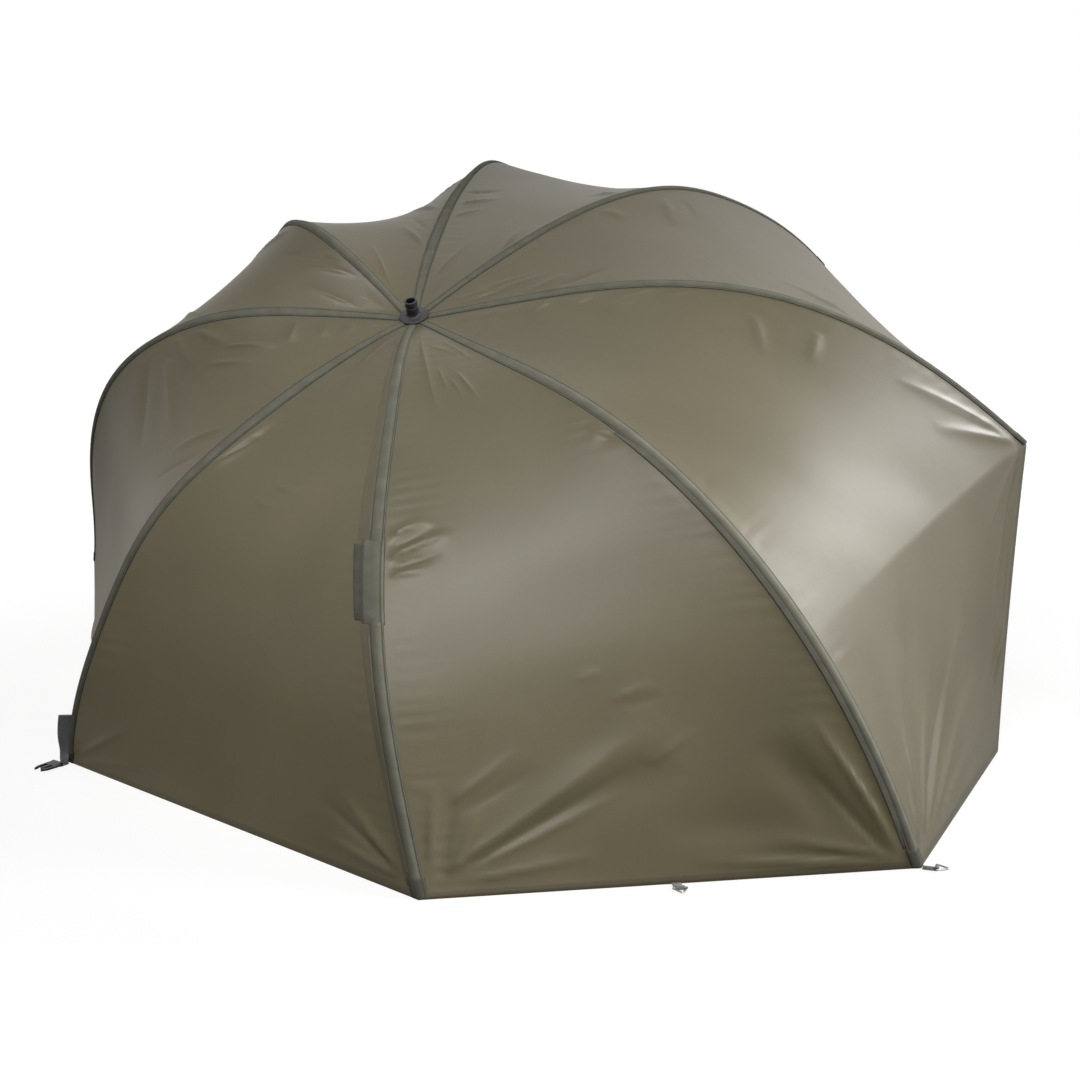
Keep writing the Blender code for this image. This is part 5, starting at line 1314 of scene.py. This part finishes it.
def build_spike():
    """A plug in the inner tube, a collar that the tube stands on, and the point down to the ground."""
    low = -INNER_TUBE_END
    lean = math.radians(POLE_TILT_DEG)
    tip = -CROWN_HEIGHT / math.cos(lean) + SPIKE_TIP_RADIUS * math.tan(lean)
    plug = INNER_TUBE_RADIUS - POLE_WALL - SEAT_GAP
    collar = SPIKE_COLLAR_RADIUS
    collar_top = low - SEAT_GAP
    collar_end = collar_top - SPIKE_COLLAR
    ease = SPIKE_COLLAR / 6
    profile = (
        (0, low + SPIKE_PLUG_LENGTH), (0, tip), (SPIKE_TIP_RADIUS, tip), (SPIKE_NECK, low - 2 * SPIKE_COLLAR),
        (collar - ease, collar_end), (collar, collar_end + ease), (collar, collar_top - ease),
        (collar - ease, collar_top), (plug, collar_top), (plug, low + SPIKE_PLUG_LENGTH),
    )
    dress(turned("spike", profile, CROWN), "steel", "pole_extension", "ground_spike")


def rod_place(number, share):
    share = np.array(float(share))
    return Vector(seam_points(number, share) - seam_normals(number, share) * ROD_DROP)


def rib_frame(number):
    """x out along the rib's heading, y the folding axis and z out of the dome, at the rib's pivot."""
    out, side = rib_directions(number)
    return CROWN @ axes_frame(plane_point(out, PIVOT_RADIUS, PIVOT_DEPTH), out, -side, UP)


def plate_outline(radius, reach):
    """A plate with a round end at the origin and a square end at reach."""
    return arc((0, 0), radius, 90, 270, PLATE_END_STEPS) + [(reach, -radius), (reach, radius)]


def build_rod(number, up):
    """A glass-fibre rod, the sleeve that holds its stretcher's lug, and the cap on its tip."""
    body = f"rib_{number}"
    length = SEAM_LENGTHS[number]
    root = rib_frame(number) @ Vector((ROD_START, 0, 0))
    last = 1 - TIP_INSET / length
    tip = last - TIP_LENGTH / length
    shares = np.linspace(SEAM_START_RADIUS / length, tip, ROD_RINGS)
    points = [root] + [rod_place(number, share) for share in shares]
    rod = sweep(f"rod_{number}", points, [ROD_RADIUS] * len(points), ROD_SIDES, up)
    dress(rod, "rod", body, body)
    ease = TIP_EASE / length
    points = [rod_place(number, share) for share in (tip - ease, tip + 2 * ease, last - 2 * ease, last)]
    radii = (ROD_RADIUS, TIP_RADIUS, TIP_RADIUS, ROD_RADIUS)
    dress(sweep(f"rod_tip_{number}", points, radii, ROD_SIDES, up, ROUND_SHARP_DEG), "black", body)
    reach = FERRULE_LENGTH / 2 / length
    shares = np.linspace(STRETCHER_SHARE - reach, STRETCHER_SHARE + reach, FERRULE_RINGS)
    points = [rod_place(number, share) for share in shares]
    sleeve = sweep(f"lug_sleeve_{number}", points, [FERRULE_RADIUS] * len(points), ROD_SIDES, up)
    dress(sleeve, "steel", body)


def build_rib(number):
    """A rod with a pressed eye that hinges in the crown, and a lug and rivet for its stretcher."""
    place = rib_frame(number)
    build_rod(number, place.to_3x3() @ UP)
    share = np.array(STRETCHER_SHARE)
    on_rod = rod_place(number, share)
    lug = on_rod - Vector(seam_normals(number, share)) * LUG_DROP
    side = CROWN.to_3x3() @ rib_directions(number)[1]
    rise = (on_rod - lug).normalized()
    lug_place = axes_frame(lug, rise, -side, rise.cross(-side))
    eye_outline = plate_outline(EYE_RADIUS, ROD_START + 2 * ROD_RADIUS)
    lug_outline = plate_outline(LUG_RADIUS, LUG_DROP)
    rivet_outline = arc((0, 0), RIVET_RADIUS, 0, 360 - 360 / RIVET_SIDES, RIVET_SIDES - 1)
    for name, outline, low, high, at in (
        ("rib_eye", eye_outline, -BLADE / 2, BLADE / 2, place),
        ("rib_lug", lug_outline, -LUG / 2, LUG / 2, lug_place),
        ("rib_rivet", rivet_outline, -LUG / 4, RIVET_LENGTH, lug_place),
    ):
        dress(plate(f"{name}_{number}", outline, low, high, at), "steel", f"rib_{number}")


def smooth_route(points, steps):
    """A Catmull-Rom curve through (x, z) points."""
    ends = [Vector(point) for point in (points[0], *points, points[-1])]
    route = []
    for k in range(len(points) - 1):
        route += [tuple(between_knots(*ends[k:k + 4], step / steps)) for step in range(steps)]
    return route + [tuple(points[-1])]


def web_strip(name, route, width, place, asides=None, twists=None):
    """Webbing of even thickness along an (x, z) route, with soft selvedges and its own pattern places.

    asides moves each of its places along y, and twists turns each about the upright, in radians."""
    points = [Vector(point) for point in route]
    outer, inner, uv = [], [], []
    length = 0
    for k, point in enumerate(points):
        before, after = points[max(k - 1, 0)], points[min(k + 1, len(points) - 1)]
        length += (point - before).length
        run = (after - before).normalized()
        turn = Matrix.Rotation(twists[k] if twists else 0, 3, "Z")
        normal = turn @ Vector((run.y, 0, -run.x)) * WEB / 2
        middle = Vector((point.x, asides[k] if asides else 0, point.y))
        rows = [(middle + turn @ Vector((0, width / 2 * across, 0)), normal * thick)
                for across, thick in WEB_PROFILE_SHARES]
        outer.append([place @ (at - lift) for at, lift in rows])
        inner.append([place @ (at + lift) for at, lift in rows])
        uv.append([(width / 2 * across, length) for across, _ in WEB_PROFILE_SHARES])
    made = shell_object(name, np.array(outer), np.array(inner))
    add_uv(made, both_skins(np.array(uv)))
    return made


def outward_frame(place, outwards):
    x = Vector((outwards.x, outwards.y, 0)).normalized()
    return axes_frame(place, x, UP.cross(x), UP)


def web_eye(start, eye, radius):
    """A strap's centre line: out to the eye, round it, and back on top of itself."""
    return [start, (eye[0], eye[1] - radius)] + arc(eye, radius, *WEB_EYE_DEG, WEB_EYE_STEPS)


def build_ring(suffix, place):
    """A triangle of wire with rounded corners."""
    corners = [Vector((0, -RING_BAR / 2, 0)), Vector((RING_REACH, 0, 0)), Vector((0, RING_BAR / 2, 0))]
    points = []
    for k, here in enumerate(corners):
        before = here + (corners[k - 1] - here).normalized() * RING_CORNER
        after = here + (corners[k + 1 - len(corners)] - here).normalized() * RING_CORNER
        for step in range(RING_CORNER_STEPS + 1):
            u = step / RING_CORNER_STEPS
            points.append(place @ (before * (1 - u) ** 2 + here * 2 * u * (1 - u) + after * u * u))
    radii = [WIRE_RADIUS] * len(points)
    ring = sweep(f"wire_ring_{suffix}", points, radii, RING_SIDES, UP, ROUND_SHARP_DEG, closed=True)
    dress(ring, "steel", f"peg_ring_{suffix}", f"peg_ring_{suffix}")


def build_peg_point(suffix, place, outwards, start, body):
    """A short webbing tab on the hem holding a wire ring for a peg."""
    at = outward_frame(place, outwards)
    radius = WIRE_RADIUS + WIRE_EYE_GAP + WEB / 2
    eye = (WEB_LENGTH, radius + WEB / 2 + WEB_RAISE)
    route = web_eye((start, WEB / 2 + WEB_RAISE), eye, radius)
    dress(web_strip(f"web_tab_{suffix}", route, WEB_WIDTH, at), "webbing", body, f"peg_tab_{suffix}")
    build_ring(suffix, at @ Matrix.Translation((eye[0], 0, eye[1])))


def seam_place_above_ground(number, height):
    low = SEAMS[number][len(SEAMS[number]) // 2:]
    place = np.interp(-height, -low[:, 2], np.arange(len(low)))
    index = int(place)
    return Vector(low[index] + (low[index + 1] - low[index]) * (place - index))


def build_strap():
    """A strap from beside the seam down to the ground, where it turns out and round the buckle's bar."""
    tip = Vector(seam_points(STRAP_RIB, np.array(1.0)))
    heading = math.radians(STRAP_HEADING_DEG)
    outwards = Vector((math.cos(heading), math.sin(heading), 0))
    at = outward_frame(Vector((tip.x, tip.y, 0)), outwards)
    rise = seam_place_above_ground(STRAP_RIB, STRAP_HEIGHT) - tip
    lean = rise.dot(outwards)
    bar = WEB / 2 + BUCKLE_BAR_RADIUS * math.sqrt(2) + WIRE_EYE_GAP
    eye = (STRAP_STAND_OFF + STRAP_RUN, bar + WEB / 2 + WEB_RAISE)
    start = [(lean * lean_share + STRAP_STAND_OFF * stand_share, STRAP_HEIGHT * height_share)
             for height_share, lean_share, stand_share in STRAP_ROUTE_SHARES]
    foot = web_eye((STRAP_STAND_OFF * STRAP_FOOT_SHARE, WEB / 2 + WEB_RAISE), eye, bar)
    route = smooth_route(start + foot[:1], STRAP_STEPS) + foot[1:]
    seam_side = rise.dot(UP.cross(outwards)) - STRAP_BESIDE_SEAM
    risen = [min(max((z - STRAP_STRAIGHT) / (STRAP_HEIGHT - STRAP_STRAIGHT), 0), 1) for _, z in route]
    asides = [seam_side * share ** STRAP_ASIDE_POWER for share in risen]
    twists = [math.radians(STRAP_TWIST_DEG) * math.sin(math.pi / 2 * share) for share in risen]
    made = web_strip("web_strap", route, STRAP_WIDTH, at, asides, twists)
    dress(made, "webbing", f"rib_{STRAP_RIB}", "corner_strap")


def build_peg_points():
    """One in the middle of the rear hem, square to it, and one on the tip of a ground rib."""
    rear = Vector(plain_points(REAR_PEG_PANEL, np.array(1.0), np.array(0.5)))
    corner, other = (Vector(seam_points(number, np.array(1.0))) for number in (SIDE_TAB_RIB, REAR_RIB))
    behind = Vector((corner.y - other.y, other.x - corner.x, 0))
    build_peg_point("rear", Vector((rear.x, rear.y, 0)), behind, SEAT_GAP, f"canopy_{REAR_PEG_PANEL}")
    heading = math.radians(SIDE_TAB_HEADING_DEG)
    aside = Vector((math.cos(heading), math.sin(heading), 0))
    on_tape = TAPE_FACE + 4 * SEAT_GAP
    build_peg_point("side", Vector((corner.x, corner.y, 0)), aside, on_tape, f"rib_{SIDE_TAB_RIB}")


def build_camera():
    """The photo's camera. Returns its right and its forward direction."""
    azimuth, elevation = math.radians(VIEW_AZIMUTH_DEG), math.radians(VIEW_ELEVATION_DEG)
    right = Vector((math.cos(azimuth), math.sin(azimuth), 0))
    level_back = Vector((math.sin(azimuth), -math.cos(azimuth), 0))
    back = level_back * math.cos(elevation) + UP * math.sin(elevation)
    up = back.cross(right)
    ahead = right * math.sin(AIM_RIGHT_RAD) - back * math.cos(AIM_RIGHT_RAD)
    ahead = (ahead * math.cos(AIM_UP_RAD) + up * math.sin(AIM_UP_RAD)).normalized()
    right = ahead.cross(UP).normalized()
    lens = bpy.data.cameras.new("camera")
    lens.sensor_width = SENSOR_MM
    lens.lens = FOCAL_PX * SENSOR_MM / PHOTO_SIZE_PX
    camera = bpy.data.objects.new("camera", lens)
    bpy.context.collection.objects.link(camera)
    camera.matrix_world = axes_frame(CROWN_PLACE + back * VIEW_DISTANCE, right, right.cross(ahead), -ahead)
    bpy.context.scene.camera = camera
    return right, ahead


def build_lamp(name, place, target, size, spread_deg, power, colour):
    lamp = bpy.data.lights.new(name, "AREA")
    lamp.shape = "DISK"
    lamp.size = size
    lamp.spread = math.radians(spread_deg)
    lamp.energy = power
    lamp.color = colour
    made = bpy.data.objects.new(name, lamp)
    bpy.context.collection.objects.link(made)
    made.location = place
    made.rotation_euler = (target - place).to_track_quat("-Z", "Y").to_euler()


def build_lamps(right, ahead):
    middle = Vector((CROWN_PLACE.x, CROWN_PLACE.y, CROWN_HEIGHT / 2))
    for name, (place, target, *rest) in LAMPS.items():
        ends = [middle + right * x + ahead * y + UP * z for x, y, z in (place, target)]
        build_lamp(name, *ends, *rest)


def build_sky():
    """A faint sky for light. It looks white to the camera, and in metal and glass."""
    world = bpy.data.worlds.new("studio")
    bpy.context.scene.world = world
    world.use_nodes = True
    nodes, links = world.node_tree.nodes, world.node_tree.links
    sky = nodes["Background"]
    sky.inputs["Color"].default_value = SKY_COLOUR
    sky.inputs["Strength"].default_value = SKY_STRENGTH
    white = nodes.new("ShaderNodeBackground")
    white.inputs["Color"].default_value = (1, 1, 1, 1)
    rays = nodes.new("ShaderNodeLightPath").outputs
    share = rays["Is Camera Ray"]
    for name in ("Is Glossy Ray", "Is Transmission Ray"):
        either = nodes.new("ShaderNodeMath")
        either.operation = "MAXIMUM"
        links.new(share, either.inputs[0])
        links.new(rays[name], either.inputs[1])
        share = either.outputs[0]
    mix = nodes.new("ShaderNodeMixShader")
    links.new(share, mix.inputs["Fac"])
    links.new(sky.outputs[0], mix.inputs[1])
    links.new(white.outputs[0], mix.inputs[2])
    links.new(mix.outputs[0], nodes["World Output"].inputs["Surface"])


def build_floor():
    corners = [(x * FLOOR_REACH, y * FLOOR_REACH, 0) for x, y in ((-1, -1), (1, -1), (1, 1), (-1, 1))]
    floor = mesh_object("floor", corners, [(0, 1, 2, 3)], smooth=False)
    floor.location.z = -FLOOR_DROP
    floor.data.materials.append(floor_material())


build_lamps(*build_camera())
build_sky()
build_floor()
bpy.context.scene.view_settings.view_transform = "Standard"

for rib_number in range(1, RIB_COUNT + 1):
    build_tape(rib_number)
build_seam_details()
for panel_number in range(1, RIB_COUNT + 1):
    build_panel(panel_number)
build_crown_cap()
build_pole()
build_spike()
for rib_number in range(1, RIB_COUNT + 1):
    build_rib(rib_number)
build_peg_points()
build_strap()
finish_nodes()
